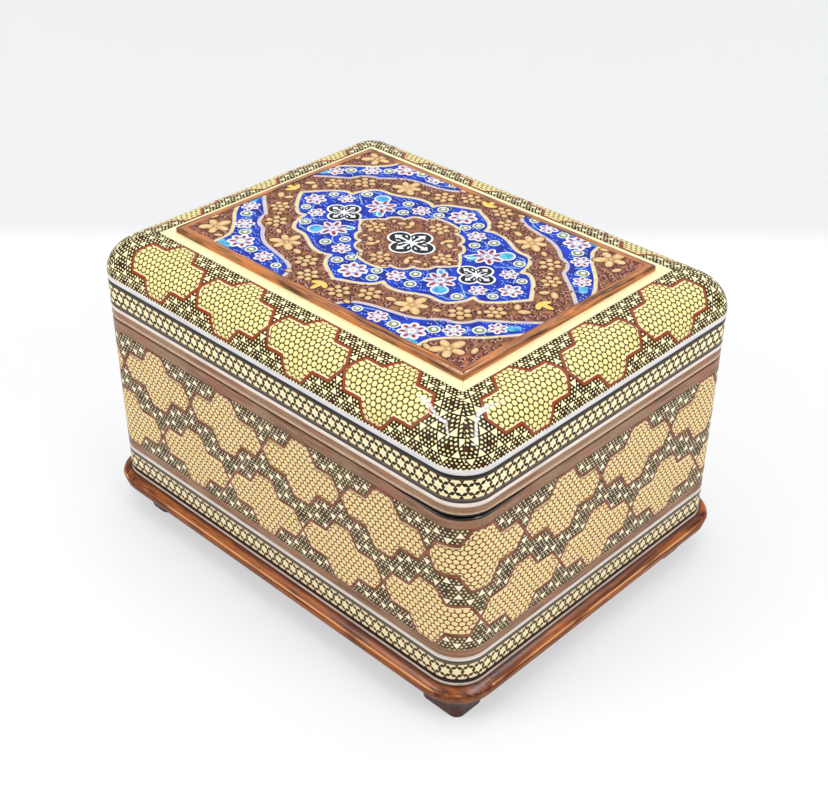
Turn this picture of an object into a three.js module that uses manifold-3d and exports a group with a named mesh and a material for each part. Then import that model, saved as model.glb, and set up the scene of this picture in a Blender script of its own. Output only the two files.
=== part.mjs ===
// Khatam jewelry box: a wooden case and a cushion-domed lid, both dressed with marquetry veneer,
// pale and dark stringing and star strips, on a moulded walnut plinth with four block feet.
// Millimetres, +Z up, front face towards -Y, origin on the floor under the centre of the box.

import * as THREE from 'three';
import { mergeVertices } from 'three/addons/utils/BufferGeometryUtils.js';
import { ParametricGeometry } from 'three/addons/geometries/ParametricGeometry.js';
import Module from 'manifold-3d';

const wasm = await Module();
wasm.setup();

// Plan sizes: the case and the lid share one outline
const BOX_LENGTH = 200;
const BOX_WIDTH = 155.2;
const CORNER_RADIUS = 13;
const PLINTH_OVERHANG = 4;
const CORNER_STEPS = 8;

// Heights above the floor, from the feet to the painted panel
const FOOT_TOP = 10.5;
const PLINTH_TOP = 17;
const CASE_PALE_STRING_LOW = 18.4;
const CASE_DARK_STRING_LOW = 20.2;
const CASE_STAR_STRIP = 27.1;
const CASE_DARK_STRING_HIGH = 28.9;
const CASE_PALE_STRING_HIGH = 30.6;
const CASE_BROWN_BAND = 34.4;
const CASE_FIELD = 88.1;
const CASE_TOP = 92.7;
const LID_BOTTOM = 93.6;
const LID_RIM_BAND = 97.5;
const LID_PALE_STRING_LOW = 99.2;
const LID_DARK_STRING_LOW = 101.1;
const LID_STAR_STRIP = 108.5;
const LID_DARK_STRING_HIGH = 110.5;
const DOME_FOOT = 112.6;
const DOME_TOP = 128;
const PANEL_TOP = 130.4;

// Thicknesses and fits
const CASE_VENEER = 2;
const LID_VENEER = 1.5;
const GLUE_LINE = 0.25;
const MITRE_GAP = 0.07;
const WALL_DEPTH = 10;
const FLOOR_THICKNESS = 4;
const LINING = 1.2;
const LINING_GAP = 0.3;

// Top of the lid: the roll's reach in plan, the panel's moulding and the painted board
const DOME_REACH = 19.4;
const PANEL_LENGTH = 152.4;
const PANEL_WIDTH = 106.6;
const MOULDING_WIDTH = 3;
const MOULDING_ROUND = 0.9;
const PAINTED_BOARD_DROP = 0.4;

// Plinth rails and feet
const RAIL_WIDTH = 19.5;
const ARRIS_HEIGHT = 15.1;
const RAIL_UNDERCUT = 1;

// Hinges
const HINGE_LENGTH = 28;
const HINGE_SPACING = 104;
const HINGE_KNUCKLES = 5;
const KNUCKLE_GAP = 0.2;
const BARREL_RADIUS = 1.9;
const BARREL_BORE = 0.95;
const HINGE_PIN_RADIUS = 0.85;
const LEAF_THICKNESS = 0.9;
const LEAF_HALF_GAP = 0.1;
const LEAF_WIDTH = 9.5;
const PIN_CLEARANCE = 0.1;

const halfLength = BOX_LENGTH / 2;
const halfWidth = BOX_WIDTH / 2;
const domeRise = DOME_TOP - DOME_FOOT;
const innerHalfLength = halfLength - WALL_DEPTH;
const innerHalfWidth = halfWidth - WALL_DEPTH;
const seam = (CASE_TOP + LID_BOTTOM) / 2;
const hingeAxisY = halfWidth + BARREL_RADIUS + PIN_CLEARANCE;

const box = new THREE.Group();

// Finishes
const finishes = {
  walnut: { color: 0x7a4526, roughness: 0.35, metalness: 0 },
  carcass: { color: 0x9a6a45, roughness: 0.6, metalness: 0 },
  khatam: { color: 0xd9c07a, roughness: 0.22, metalness: 0 },
  brownBand: { color: 0x8a6248, roughness: 0.3, metalness: 0 },
  paleString: { color: 0xe6ded6, roughness: 0.25, metalness: 0 },
  darkString: { color: 0x3c3a3c, roughness: 0.25, metalness: 0 },
  bone: { color: 0xf8ebb4, roughness: 0.25, metalness: 0 },
  paint: { color: 0x3550a8, roughness: 0.3, metalness: 0 },
  brass: { color: 0xc8a250, roughness: 0.3, metalness: 1 },
  velvet: { color: 0x7a1420, roughness: 0.95, metalness: 0 },
};

function addPiece(name, geometry, finish) {
  const mesh = new THREE.Mesh(geometry, new THREE.MeshStandardMaterial(finishes[finish]));
  mesh.name = name;
  box.add(mesh);
}

// Solids: joining and cutting

function toSolid(geometry) {
  const bare = geometry.clone();
  bare.deleteAttribute('normal');
  bare.deleteAttribute('uv');
  const merged = mergeVertices(bare, 1e-4);
  const corners = merged.index.array;
  const kept = [];
  for (let i = 0; i < corners.length; i += 3) {
    const [a, b, c] = [corners[i], corners[i + 1], corners[i + 2]];
    if (a !== b && b !== c && c !== a) {
      kept.push(a, b, c);
    }
  }
  return new wasm.Manifold(new wasm.Mesh({
    numProp: 3,
    vertProperties: new Float32Array(merged.attributes.position.array),
    triVerts: new Uint32Array(kept),
  }));
}

function toGeometry(solid) {
  const mesh = solid.getMesh();
  const geometry = new THREE.BufferGeometry();
  const places = new Float32Array((mesh.vertProperties.length / mesh.numProp) * 3);
  for (let i = 0; i < places.length / 3; i += 1) {
    for (let k = 0; k < 3; k += 1) {
      places[3 * i + k] = mesh.vertProperties[i * mesh.numProp + k];
    }
  }
  geometry.setAttribute('position', new THREE.BufferAttribute(places, 3));
  geometry.setIndex(new THREE.BufferAttribute(new Uint32Array(mesh.triVerts), 1));
  return geometry;
}

function block(x0, x1, y0, y1, z0, z1) {
  const geometry = new THREE.BoxGeometry(x1 - x0, y1 - y0, z1 - z0);
  return geometry.translate((x0 + x1) / 2, (y0 + y1) / 2, (z0 + z1) / 2);
}

function prism(points, z0, z1) {
  const outline = new THREE.Shape(points.map(([x, y]) => new THREE.Vector2(x, y)));
  const geometry = new THREE.ExtrudeGeometry(outline, { depth: z1 - z0, bevelEnabled: false });
  return geometry.translate(0, 0, z0);
}

// Rounded rectangles and the forms swept round them

// One loop round the box at a height, with the same number of points whatever its radius.
function roundedLoop({ x, y, radius, z, cx = 0, cy = 0 }) {
  const loop = [];
  const quarters = [[1, 1], [-1, 1], [-1, -1], [1, -1]];
  quarters.forEach(([sx, sy], quarter) => {
    for (let step = 0; step <= CORNER_STEPS; step += 1) {
      const angle = (quarter + step / CORNER_STEPS) * Math.PI / 2;
      loop.push(new THREE.Vector3(
        cx + sx * (x - radius) + radius * Math.cos(angle),
        cy + sy * (y - radius) + radius * Math.sin(angle),
        z,
      ));
    }
  });
  return loop;
}

// A skin through a list of loops. closed joins the last loop to the first, as a hollow band does;
// otherwise both ends run in to their middles, as a solid block does.
function loft(sections, closed) {
  const loops = sections.map(roundedLoop);
  if (closed) {
    loops.push(loops[0]);
  } else {
    const middle = (section) => new THREE.Vector3(section.cx ?? 0, section.cy ?? 0, section.z);
    loops.unshift(loops[0].map(() => middle(sections[0])));
    loops.push(loops[1].map(() => middle(sections[sections.length - 1])));
  }
  const around = loops[0].length;
  const along = loops.length - 1;
  const place = (u, v, target) => {
    const loop = loops[Math.round(v * along)];
    target.copy(loop[Math.round(u * around) % around]);
  };
  return new ParametricGeometry(place, around, along);
}

// A band of veneer round the box between two heights.
function veneerBand(z0, z1, thickness) {
  const outside = { x: halfLength, y: halfWidth, radius: CORNER_RADIUS };
  const inside = {
    x: halfLength - thickness,
    y: halfWidth - thickness,
    radius: CORNER_RADIUS - thickness,
  };
  return loft([
    { ...outside, z: z0 },
    { ...outside, z: z1 },
    { ...inside, z: z1 },
    { ...inside, z: z0 },
  ], true);
}

function caseBand(z0, z1) {
  return veneerBand(z0, z1, CASE_VENEER);
}

function lidBand(z0, z1) {
  return veneerBand(z0, z1, LID_VENEER);
}

// The four quarters of a mitred frame: each side is what lies inside its own wedge.
const SIDES = ['front', 'right', 'back', 'left'];

function wedge(side, x, y, z0, z1) {
  const reach = 20;
  const ridge = x - y;
  const long = [[-x - reach, -y - reach], [x + reach, -y - reach], [ridge, 0], [-ridge, 0]];
  const short = [[x + reach, -y - reach], [x + reach, y + reach], [ridge, 0]];
  const turned = side === 'back' || side === 'left';
  const sign = turned ? -1 : 1;
  const outline = side === 'front' || side === 'back' ? long : short;
  const [dx, dy] = side === 'front' || side === 'back' ? [0, -MITRE_GAP] : [MITRE_GAP, 0];
  return prism(outline.map(([px, py]) => [sign * (px + dx), sign * (py + dy)]), z0, z1);
}

function mitredQuarter(geometry, side, x, y, z0, z1) {
  return toSolid(geometry).intersect(toSolid(wedge(side, x, y, z0, z1)));
}

// Plinth: four rails laid pinwheel fashion, each one wrapping the next corner

function plinthSections() {
  const overhangs = [
    [PLINTH_OVERHANG - RAIL_UNDERCUT - 0.5, FOOT_TOP],
    [PLINTH_OVERHANG - RAIL_UNDERCUT, FOOT_TOP + 0.5],
    [PLINTH_OVERHANG, ARRIS_HEIGHT - 0.6],
    [PLINTH_OVERHANG - 0.2, ARRIS_HEIGHT],
    [PLINTH_OVERHANG * 0.65, ARRIS_HEIGHT + 1.1],
    [PLINTH_OVERHANG * 0.35, PLINTH_TOP - 0.3],
    [PLINTH_OVERHANG * 0.1, PLINTH_TOP],
  ];
  return overhangs.map(([out, z]) => ({
    x: halfLength + out,
    y: halfWidth + out,
    radius: CORNER_RADIUS + out,
    z,
  }));
}

const plinthX = halfLength + PLINTH_OVERHANG;
const plinthY = halfWidth + PLINTH_OVERHANG;

function makePlinth() {
  const slab = toSolid(loft(plinthSections(), false));
  const [z0, z1] = [FOOT_TOP - 1, PLINTH_TOP + 1];
  const [x, y, w] = [plinthX, plinthY, RAIL_WIDTH];
  const rails = {
    plinth_rail_front: block(-x + w, x + 1, -y - 1, -y + w, z0, z1),
    plinth_rail_right: block(x - w, x + 1, -y + w, y + 1, z0, z1),
    plinth_rail_back: block(-x - 1, x - w, y - w, y + 1, z0, z1),
    plinth_rail_left: block(-x - 1, -x + w, -y - 1, y - w, z0, z1),
  };
  for (const [name, cutter] of Object.entries(rails)) {
    addPiece(name, toGeometry(slab.intersect(toSolid(cutter))), 'walnut');
  }
}

// Feet: small blocks, flared at the top and drawn in towards the floor, set by eye under the corners

function makeFeet() {
  const feet = {
    foot_front_right: { cx: 87.1, cy: -66.9, x: 10.4, y: 8.4, radius: 4.5 },
    foot_front_left: { cx: -80, cy: -67.6, x: 7, y: 7.4, radius: 4.5 },
    foot_back_right: { cx: 89.4, cy: 57, x: 8.2, y: 8.2, radius: 4.5 },
    foot_back_left: { cx: -87.1, cy: 65, x: 10.4, y: 8.4, radius: 4.5 },
  };
  const flare = [[-1, 0], [-0.4, 4], [0.4, 7.5], [2, FOOT_TOP]];
  for (const [name, { cx, cy, x, y, radius }] of Object.entries(feet)) {
    const sections = flare.map(([out, z]) => ({ cx, cy, x: x + out, y: y + out, radius: radius + out, z }));
    addPiece(name, toGeometry(toSolid(loft(sections, false))), 'walnut');
  }
}

// Case: four boards round a floor, rounded at the corners after gluing

function boardCutters(z0, z1) {
  const [x, y, ix, iy] = [halfLength, halfWidth, innerHalfLength, innerHalfWidth];
  return {
    front: block(-x - 1, x + 1, -y - 1, -iy, z0, z1),
    back: block(-x - 1, x + 1, iy, y + 1, z0, z1),
    right: block(ix, x + 1, -iy, iy, z0, z1),
    left: block(-x - 1, -ix, -iy, iy, z0, z1),
  };
}

function coreBlock(skin, z0, z1) {
  const inset = skin + GLUE_LINE;
  const plan = { x: halfLength - inset, y: halfWidth - inset, radius: CORNER_RADIUS - inset };
  return toSolid(loft([{ ...plan, z: z0 }, { ...plan, z: z1 }], false));
}

function makeCase() {
  const core = coreBlock(CASE_VENEER, PLINTH_TOP, CASE_TOP);
  const cutters = boardCutters(PLINTH_TOP - 1, CASE_TOP + 1);
  for (const side of SIDES) {
    let board = core.intersect(toSolid(cutters[side]));
    if (side === 'back') {
      board = board.subtract(hingeRecesses('case'));
    }
    addPiece(`case_wall_${side}`, toGeometry(board), 'carcass');
  }
  addPiece('case_floor', block(
    -innerHalfLength, innerHalfLength, -innerHalfWidth, innerHalfWidth,
    PLINTH_TOP, PLINTH_TOP + FLOOR_THICKNESS,
  ), 'carcass');
}

function makeCaseVeneers() {
  const field = caseBand(CASE_BROWN_BAND, CASE_FIELD);
  for (const side of SIDES) {
    const sheet = mitredQuarter(field, side, halfLength, halfWidth, CASE_BROWN_BAND - 1, CASE_FIELD + 1);
    addPiece(`case_khatam_${side}`, toGeometry(sheet), 'khatam');
  }
  const topBand = toSolid(caseBand(CASE_FIELD, CASE_TOP)).subtract(hingeRecesses('case'));
  addPiece('case_top_band', toGeometry(topBand), 'brownBand');
  addPiece('case_lower_band', caseBand(CASE_PALE_STRING_HIGH, CASE_BROWN_BAND), 'brownBand');
  addPiece('case_pale_string_upper', caseBand(CASE_DARK_STRING_HIGH, CASE_PALE_STRING_HIGH), 'paleString');
  addPiece('case_dark_string_upper', caseBand(CASE_STAR_STRIP, CASE_DARK_STRING_HIGH), 'darkString');
  addPiece('case_star_strip', caseBand(CASE_DARK_STRING_LOW, CASE_STAR_STRIP), 'khatam');
  addPiece('case_dark_string_lower', caseBand(CASE_PALE_STRING_LOW, CASE_DARK_STRING_LOW), 'darkString');
  addPiece('case_pale_string_lower', caseBand(PLINTH_TOP, CASE_PALE_STRING_LOW), 'paleString');
}

// Lid: four boards under a thick top whose edges roll over in a quarter ellipse

// Stations of the roll, from the dome's foot up to the pale border, drawn in by skin.
function rollSections(skin, steps) {
  const sections = [];
  for (let step = 0; step <= steps; step += 1) {
    const turn = (step / steps) * Math.PI / 2;
    const out = (DOME_REACH - skin) * Math.cos(turn);
    const share = (DOME_REACH - out) / DOME_REACH;
    sections.push({
      x: halfLength - DOME_REACH + out,
      y: halfWidth - DOME_REACH + out,
      radius: Math.max(CORNER_RADIUS * (1 - share), 0.4),
      z: DOME_FOOT + (domeRise - skin) * Math.sin(turn),
    });
  }
  return sections;
}

function makeLidCore() {
  const core = coreBlock(LID_VENEER, LID_BOTTOM, DOME_FOOT);
  const cutters = boardCutters(LID_BOTTOM - 1, DOME_FOOT + 1);
  for (const side of SIDES) {
    let board = core.intersect(toSolid(cutters[side]));
    if (side === 'back') {
      board = board.subtract(hingeRecesses('lid'));
    }
    addPiece(`lid_wall_${side}`, toGeometry(board), 'carcass');
  }
  const cushion = rollSections(LID_VENEER + GLUE_LINE, 9);
  cushion[cushion.length - 1].z = DOME_TOP - LID_VENEER;
  addPiece('lid_top_board', toGeometry(toSolid(loft(cushion, false))), 'carcass');
}

function makeLidBands() {
  const rim = toSolid(lidBand(LID_BOTTOM, LID_RIM_BAND)).subtract(hingeRecesses('lid'));
  addPiece('lid_rim_band', toGeometry(rim), 'brownBand');
  addPiece('lid_pale_string_lower', lidBand(LID_RIM_BAND, LID_PALE_STRING_LOW), 'paleString');
  addPiece('lid_dark_string_lower', lidBand(LID_PALE_STRING_LOW, LID_DARK_STRING_LOW), 'darkString');
  addPiece('lid_star_strip', lidBand(LID_DARK_STRING_LOW, LID_STAR_STRIP), 'khatam');
  addPiece('lid_dark_string_upper', lidBand(LID_STAR_STRIP, LID_DARK_STRING_HIGH), 'darkString');
  addPiece('lid_pale_string_upper', lidBand(LID_DARK_STRING_HIGH, DOME_FOOT), 'paleString');
}

// The rolled veneers: a shell between two quarter ellipses, cut into four at the corner mitres.
function makeDomeVeneers() {
  const outer = rollSections(0, 12);
  const inner = rollSections(LID_VENEER, 12).reverse();
  const shell = loft([...outer, ...inner], true);
  for (const side of SIDES) {
    const sheet = mitredQuarter(shell, side, halfLength, halfWidth, DOME_FOOT - 1, DOME_TOP + 1);
    addPiece(`dome_khatam_${side}`, toGeometry(sheet), 'khatam');
  }
}

// Flat frame on the lid: a pale border and a small moulding, each in four mitred strips

function frameSections(x, y, profile) {
  return profile.map(([inset, z]) => ({ x: x - inset, y: y - inset, radius: 0.05, z }));
}

function makeTopFrames() {
  const seat = DOME_TOP - LID_VENEER;
  const [bx, by] = [halfLength - DOME_REACH - MITRE_GAP, halfWidth - DOME_REACH - MITRE_GAP];
  const [px, py] = [PANEL_LENGTH / 2, PANEL_WIDTH / 2];
  const roundTop = [0, 0.3, 0.6, 1].map((turn) => [
    MOULDING_ROUND * (1 - Math.cos(turn * Math.PI / 2)),
    PANEL_TOP - MOULDING_ROUND * (1 - Math.sin(turn * Math.PI / 2)),
  ]);
  const moulding = [[0, seat], ...roundTop, [MOULDING_WIDTH, PANEL_TOP], [MOULDING_WIDTH, seat]];
  const mouldingRing = loft(frameSections(px, py, moulding), true);
  for (const side of SIDES) {
    addPiece(`bone_strip_${side}`, prism(stripOutline(side, bx, by, px, py), seat, DOME_TOP), 'bone');
    addPiece(`panel_moulding_${side}`, toGeometry(
      mitredQuarter(mouldingRing, side, px, py, seat - 1, PANEL_TOP + 1),
    ), 'walnut');
  }
  const [ix, iy] = [px - MOULDING_WIDTH, py - MOULDING_WIDTH];
  addPiece('painted_panel', block(-ix, ix, -iy, iy, seat, PANEL_TOP - PAINTED_BOARD_DROP), 'paint');
}

// Plan of one strip of a flat frame between an outer and an inner rectangle, its ends mitred.
function stripOutline(side, x, y, ix, iy) {
  const g = MITRE_GAP;
  const strips = {
    front: [[-x + g, -y], [x - g, -y], [ix - g, -iy], [-ix + g, -iy]],
    right: [[x, -y + g], [x, y - g], [ix, iy - g], [ix, -iy + g]],
    back: [[x - g, y], [-x + g, y], [-ix + g, iy], [ix - g, iy]],
    left: [[-x, y - g], [-x, -y + g], [-ix, -iy + g], [-ix, iy - g]],
  };
  return strips[side];
}

// Hinges: two brass butts let into the seam at the back, their barrels standing proud

const hingeCentres = { left: -HINGE_SPACING / 2, right: HINGE_SPACING / 2 };
const knuckleLength = HINGE_LENGTH / HINGE_KNUCKLES;
const leafEdgeY = hingeAxisY - LEAF_WIDTH;

// Pockets for the leaves, in the case when half is 'case' and in the lid when it is 'lid'.
function hingeRecesses(half) {
  const sign = half === 'case' ? -1 : 1;
  const far = seam + sign * (LEAF_HALF_GAP + LEAF_THICKNESS);
  const near = seam - sign * 1;
  const pockets = Object.values(hingeCentres).map((x) => toSolid(block(
    x - HINGE_LENGTH / 2, x + HINGE_LENGTH / 2,
    leafEdgeY, halfWidth + 5,
    Math.min(far, near), Math.max(far, near),
  )));
  return pockets[0].add(pockets[1]);
}

// Section of a knuckle and the leaf it is rolled from, in the plane across the hinge.
function knuckleSection() {
  const outline = new THREE.Shape();
  const [top, bottom] = [LEAF_HALF_GAP, LEAF_HALF_GAP + LEAF_THICKNESS];
  const startAngle = Math.PI + Math.asin(bottom / BARREL_RADIUS);
  const endAngle = 3 * Math.PI + Math.asin(top / BARREL_RADIUS);
  const edge = leafEdgeY - hingeAxisY;
  outline.moveTo(edge, -bottom);
  outline.lineTo(BARREL_RADIUS * Math.cos(startAngle), -bottom);
  outline.absarc(0, 0, BARREL_RADIUS, startAngle, endAngle, false);
  outline.lineTo(edge, -top);
  outline.closePath();
  const bore = new THREE.Path();
  bore.absarc(0, 0, BARREL_BORE, 0, 2 * Math.PI, true);
  outline.holes.push(bore);
  return outline;
}

// The section is drawn with Y across and Z up, then swept along X. The lid's half is turned over.
function sweepAlongX(outline, sign, x0, x1) {
  const sweep = new THREE.ExtrudeGeometry(outline, {
    depth: x1 - x0,
    bevelEnabled: false,
    curveSegments: 20,
  });
  const toHinge = new THREE.Matrix4().makeBasis(
    new THREE.Vector3(0, 1, 0),
    new THREE.Vector3(0, 0, 1),
    new THREE.Vector3(1, 0, 0),
  );
  sweep.applyMatrix4(toHinge);
  let solid = toSolid(sweep);
  if (sign > 0) {
    solid = solid.mirror([0, 0, 1]);
  }
  return solid.translate([x0, hingeAxisY, seam]);
}

function makeHingeLeaf(half, centre) {
  const sign = half === 'case' ? -1 : 1;
  const outline = knuckleSection();
  const start = centre - HINGE_LENGTH / 2;
  const plateZ = [seam + sign * LEAF_HALF_GAP, seam + sign * (LEAF_HALF_GAP + LEAF_THICKNESS)];
  let leaf = toSolid(block(
    start, start + HINGE_LENGTH,
    leafEdgeY, hingeAxisY - BARREL_RADIUS - KNUCKLE_GAP,
    Math.min(...plateZ), Math.max(...plateZ),
  ));
  const first = half === 'case' ? 0 : 1;
  for (let k = first; k < HINGE_KNUCKLES; k += 2) {
    const x0 = start + k * knuckleLength + (k === 0 ? 0 : KNUCKLE_GAP / 2);
    const x1 = start + (k + 1) * knuckleLength - (k === HINGE_KNUCKLES - 1 ? 0 : KNUCKLE_GAP / 2);
    leaf = leaf.add(sweepAlongX(outline, sign, x0, x1));
  }
  return leaf;
}

function makeHinges() {
  for (const [hand, centre] of Object.entries(hingeCentres)) {
    addPiece(`hinge_leaf_case_${hand}`, toGeometry(makeHingeLeaf('case', centre)), 'brass');
    addPiece(`hinge_leaf_lid_${hand}`, toGeometry(makeHingeLeaf('lid', centre)), 'brass');
    const pin = new THREE.CylinderGeometry(HINGE_PIN_RADIUS, HINGE_PIN_RADIUS, HINGE_LENGTH, 16);
    pin.rotateZ(Math.PI / 2);
    pin.translate(centre, hingeAxisY, seam);
    addPiece(`hinge_pin_${hand}`, pin, 'brass');
  }
}

// Linings: a padded floor, thin panels round the walls and a pad under the lid

function makeLinings() {
  const floorTop = PLINTH_TOP + FLOOR_THICKNESS;
  const [x, y] = [innerHalfLength - LINING_GAP, innerHalfWidth - LINING_GAP];
  const [z0, z1] = [floorTop + LINING_GAP, CASE_TOP - 2];
  const sideEnd = y - LINING - LINING_GAP;
  addPiece('lining_wall_front', block(-x, x, -y, -y + LINING, z0, z1), 'velvet');
  addPiece('lining_wall_back', block(-x, x, y - LINING, y, z0, z1), 'velvet');
  addPiece('lining_wall_right', block(x - LINING, x, -sideEnd, sideEnd, z0, z1), 'velvet');
  addPiece('lining_wall_left', block(-x, -x + LINING, -sideEnd, sideEnd, z0, z1), 'velvet');
  const [fx, fy] = [x - LINING - LINING_GAP, y - LINING - LINING_GAP];
  addPiece('lining_floor_pad', block(-fx, fx, -fy, fy, z0, z0 + 3), 'velvet');
  const lidTop = DOME_FOOT - LINING_GAP;
  addPiece('lining_lid_pad', block(-x, x, -y, y, lidTop - 3, lidTop), 'velvet');
}

makeFeet();
makePlinth();
makeCase();
makeCaseVeneers();
makeLidCore();
makeLidBands();
makeDomeVeneers();
makeTopFrames();
makeHinges();
makeLinings();

export default box;
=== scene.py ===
import math
import random
from functools import partialmethod

import bmesh
import bpy
from mathutils import Matrix, Vector, noise


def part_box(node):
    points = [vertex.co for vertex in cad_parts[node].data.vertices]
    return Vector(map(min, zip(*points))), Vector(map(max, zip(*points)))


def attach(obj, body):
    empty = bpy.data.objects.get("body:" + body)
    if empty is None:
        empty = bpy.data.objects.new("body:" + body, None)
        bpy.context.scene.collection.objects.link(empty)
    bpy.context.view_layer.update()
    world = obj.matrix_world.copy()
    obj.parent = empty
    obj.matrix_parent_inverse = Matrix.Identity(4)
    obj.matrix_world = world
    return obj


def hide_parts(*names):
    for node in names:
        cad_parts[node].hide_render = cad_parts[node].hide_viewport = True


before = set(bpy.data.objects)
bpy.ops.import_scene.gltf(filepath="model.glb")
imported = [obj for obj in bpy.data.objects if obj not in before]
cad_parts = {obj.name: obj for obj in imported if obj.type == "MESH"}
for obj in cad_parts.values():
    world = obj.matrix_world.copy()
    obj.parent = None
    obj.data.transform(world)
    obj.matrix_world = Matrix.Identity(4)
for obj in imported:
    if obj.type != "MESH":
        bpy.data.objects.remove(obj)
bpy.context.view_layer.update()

# A khatam jewelry box with a domed, painted lid. Lengths are in millimetres until a piece is finished.

MM = 0.001
SAME_POINT = 0.002
SIDES = ("front", "right", "back", "left")
BOX_HALF = (100.0, 77.6)
CORNER = 13.0
QUARTER_RUN = BOX_HALF[0] + BOX_HALF[1] - 2 * CORNER + CORNER * math.pi / 2
VENEER = {"case": 1.9, "lid": 1.4}
STRAIGHT_STEPS = 24
ARC_STEPS = 12
SHUT = 93.15
BOARDS_MEET = 93.1
TRIANGLE = math.sqrt(3) / 2
COS_30, SIN_30 = 0.866, 0.5


# Sums that a finish works out at each point of a surface

def pigment(colour, share=1.0):
    """A colour as it is seen, 0 to 255, made ready for a shader, or a darker share of it."""
    def linear(part):
        part /= 255.0
        return part / 12.92 if part <= 0.04045 else ((part + 0.055) / 1.055) ** 2.4
    return tuple(linear(part) * share for part in colour) + (1.0,)


def feed(tree, item, place):
    """Gives an input of a node a number, a colour, or what another node works out."""
    if isinstance(item, Value):
        item = item.socket
    if isinstance(item, bpy.types.NodeSocket):
        tree.links.new(item, place)
    elif isinstance(item, tuple) and len(item) == 3:
        place.default_value = pigment(item)
    else:
        place.default_value = item


class Value:
    """A number that changes over a surface, which takes part in ordinary sums."""

    def __init__(self, tree, socket):
        self.tree = tree
        self.socket = socket

    def work(self, operation, *others):
        """One step of a sum, with this number and up to two others."""
        node = self.tree.nodes.new("ShaderNodeMath")
        node.operation = operation
        for place, item in enumerate((self, *others)):
            feed(self.tree, item, node.inputs[place])
        return Value(self.tree, node.outputs[0])

    __add__ = partialmethod(work, "ADD")
    __sub__ = partialmethod(work, "SUBTRACT")
    __rsub__ = partialmethod(work, "MULTIPLY_ADD", -1.0)
    __mul__ = partialmethod(work, "MULTIPLY")
    least = partialmethod(work, "MINIMUM")
    most = partialmethod(work, "MAXIMUM")
    size = partialmethod(work, "ABSOLUTE")
    # how far it is from the nearest whole repeat, where a repeat is twice the number given
    fold = partialmethod(work, "PINGPONG")

    def ramp(self, low, high, from_low=0.0, from_high=1.0):
        """Goes from from_low to from_high, softly, as this goes from low to high."""
        node = self.tree.nodes.new("ShaderNodeMapRange")
        node.interpolation_type = "SMOOTHSTEP"
        for name, item in (("Value", self), ("From Min", low), ("From Max", high),
                           ("To Min", from_low), ("To Max", from_high)):
            feed(self.tree, item, node.inputs[name])
        return Value(self.tree, node.outputs["Result"])


def length_of(first, second):
    return (first * first + second * second).work("SQRT")


class Finish:
    """One finish of the box: a shader whose colour, gloss and relief follow its own sums."""

    def __init__(self, name, roughness=0.5, lacquer=0.0, lacquer_roughness=0.04, metal=0.0, shine=0.25):
        self.material = bpy.data.materials.new(name)
        self.material.use_nodes = True
        self.tree = self.material.node_tree
        self.shader = self.tree.nodes["Principled BSDF"]
        for place, value in (("Roughness", roughness), ("Metallic", metal), ("Specular IOR Level", shine),
                             ("Coat Weight", lacquer), ("Coat Roughness", lacquer_roughness)):
            self.shader.inputs[place].default_value = value

    def add(self, kind, **inputs):
        """A new node, with some of its inputs fed."""
        node = self.tree.nodes.new(kind)
        for name, item in inputs.items():
            feed(self.tree, item, node.inputs[name])
        return node

    def spread(self, source="Object"):
        """Where a point is, in millimetres: on the object, or on the sheet laid flat."""
        place = self.add("ShaderNodeTexCoord").outputs[source]
        parts = self.add("ShaderNodeSeparateXYZ", Vector=place)
        scale = 1 / MM if source == "Object" else 1.0
        return [Value(self.tree, parts.outputs[n]) * scale for n in range(3)]

    def gather(self, x, y, z=0.0):
        return self.add("ShaderNodeCombineXYZ", X=x, Y=y, Z=z).outputs[0]

    def noise(self, place, scale=1.0, detail=2.0, rough=0.5, twist=0.0):
        """Cloudy variation about 0 to 1, over a place, or over two or three numbers."""
        if isinstance(place, tuple):
            place = self.gather(*place)
        node = self.add("ShaderNodeTexNoise", Vector=place, Scale=scale, Detail=detail, Roughness=rough,
                        Distortion=twist)
        return Value(self.tree, node.outputs["Fac"])

    def mix(self, share, first, second):
        """The first colour where share is 0, the second where it is 1."""
        node = self.tree.nodes.new("ShaderNodeMix")
        node.data_type = "RGBA"
        for place, item in (("Factor", share), (6, first), (7, second)):
            feed(self.tree, item, node.inputs[place])
        return node.outputs[2]

    def done(self, colour, height, depth, gloss=None):
        """The material, coloured, and raised by up to depth millimetres where height is 1."""
        bump = self.add("ShaderNodeBump", Distance=depth * MM, Height=height)
        feed(self.tree, colour, self.shader.inputs["Base Color"])
        feed(self.tree, bump.outputs[0], self.shader.inputs["Normal"])
        if gloss:
            feed(self.tree, gloss, self.shader.inputs["Roughness"])
        return self.material


# The finishes

# the khatam's finest work, as shares of the length and the height of its triangles
DOT_PITCH = 0.306
DOT_RISE = 0.297
STAR_SIZE = 0.112


def nearest_point(u, v, pitch):
    """How far a point is from a triangular lattice with that pitch."""
    half = pitch / 2
    rise = pitch * TRIANGLE
    across = u.fold(half)
    up = v.fold(rise)
    return length_of(across, up).least(length_of(half - across, rise - up))


def medallion_edge(u, v, centre, side, rise):
    """How far a point is outside the twelve-sided medallions of one row."""
    lean = side / (2 * rise)
    square = 1 / math.sqrt(1 + lean * lean)
    across = (u - centre[0]).fold(2.5 * side)
    up = (v - centre[1]).size()
    slope = across + up * lean
    wide = (up - rise).most((slope - 2.5 * side) * square)
    tall = (up - 2 * rise).most((slope - 1.5 * side) * square)
    return wide.least(tall)


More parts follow.
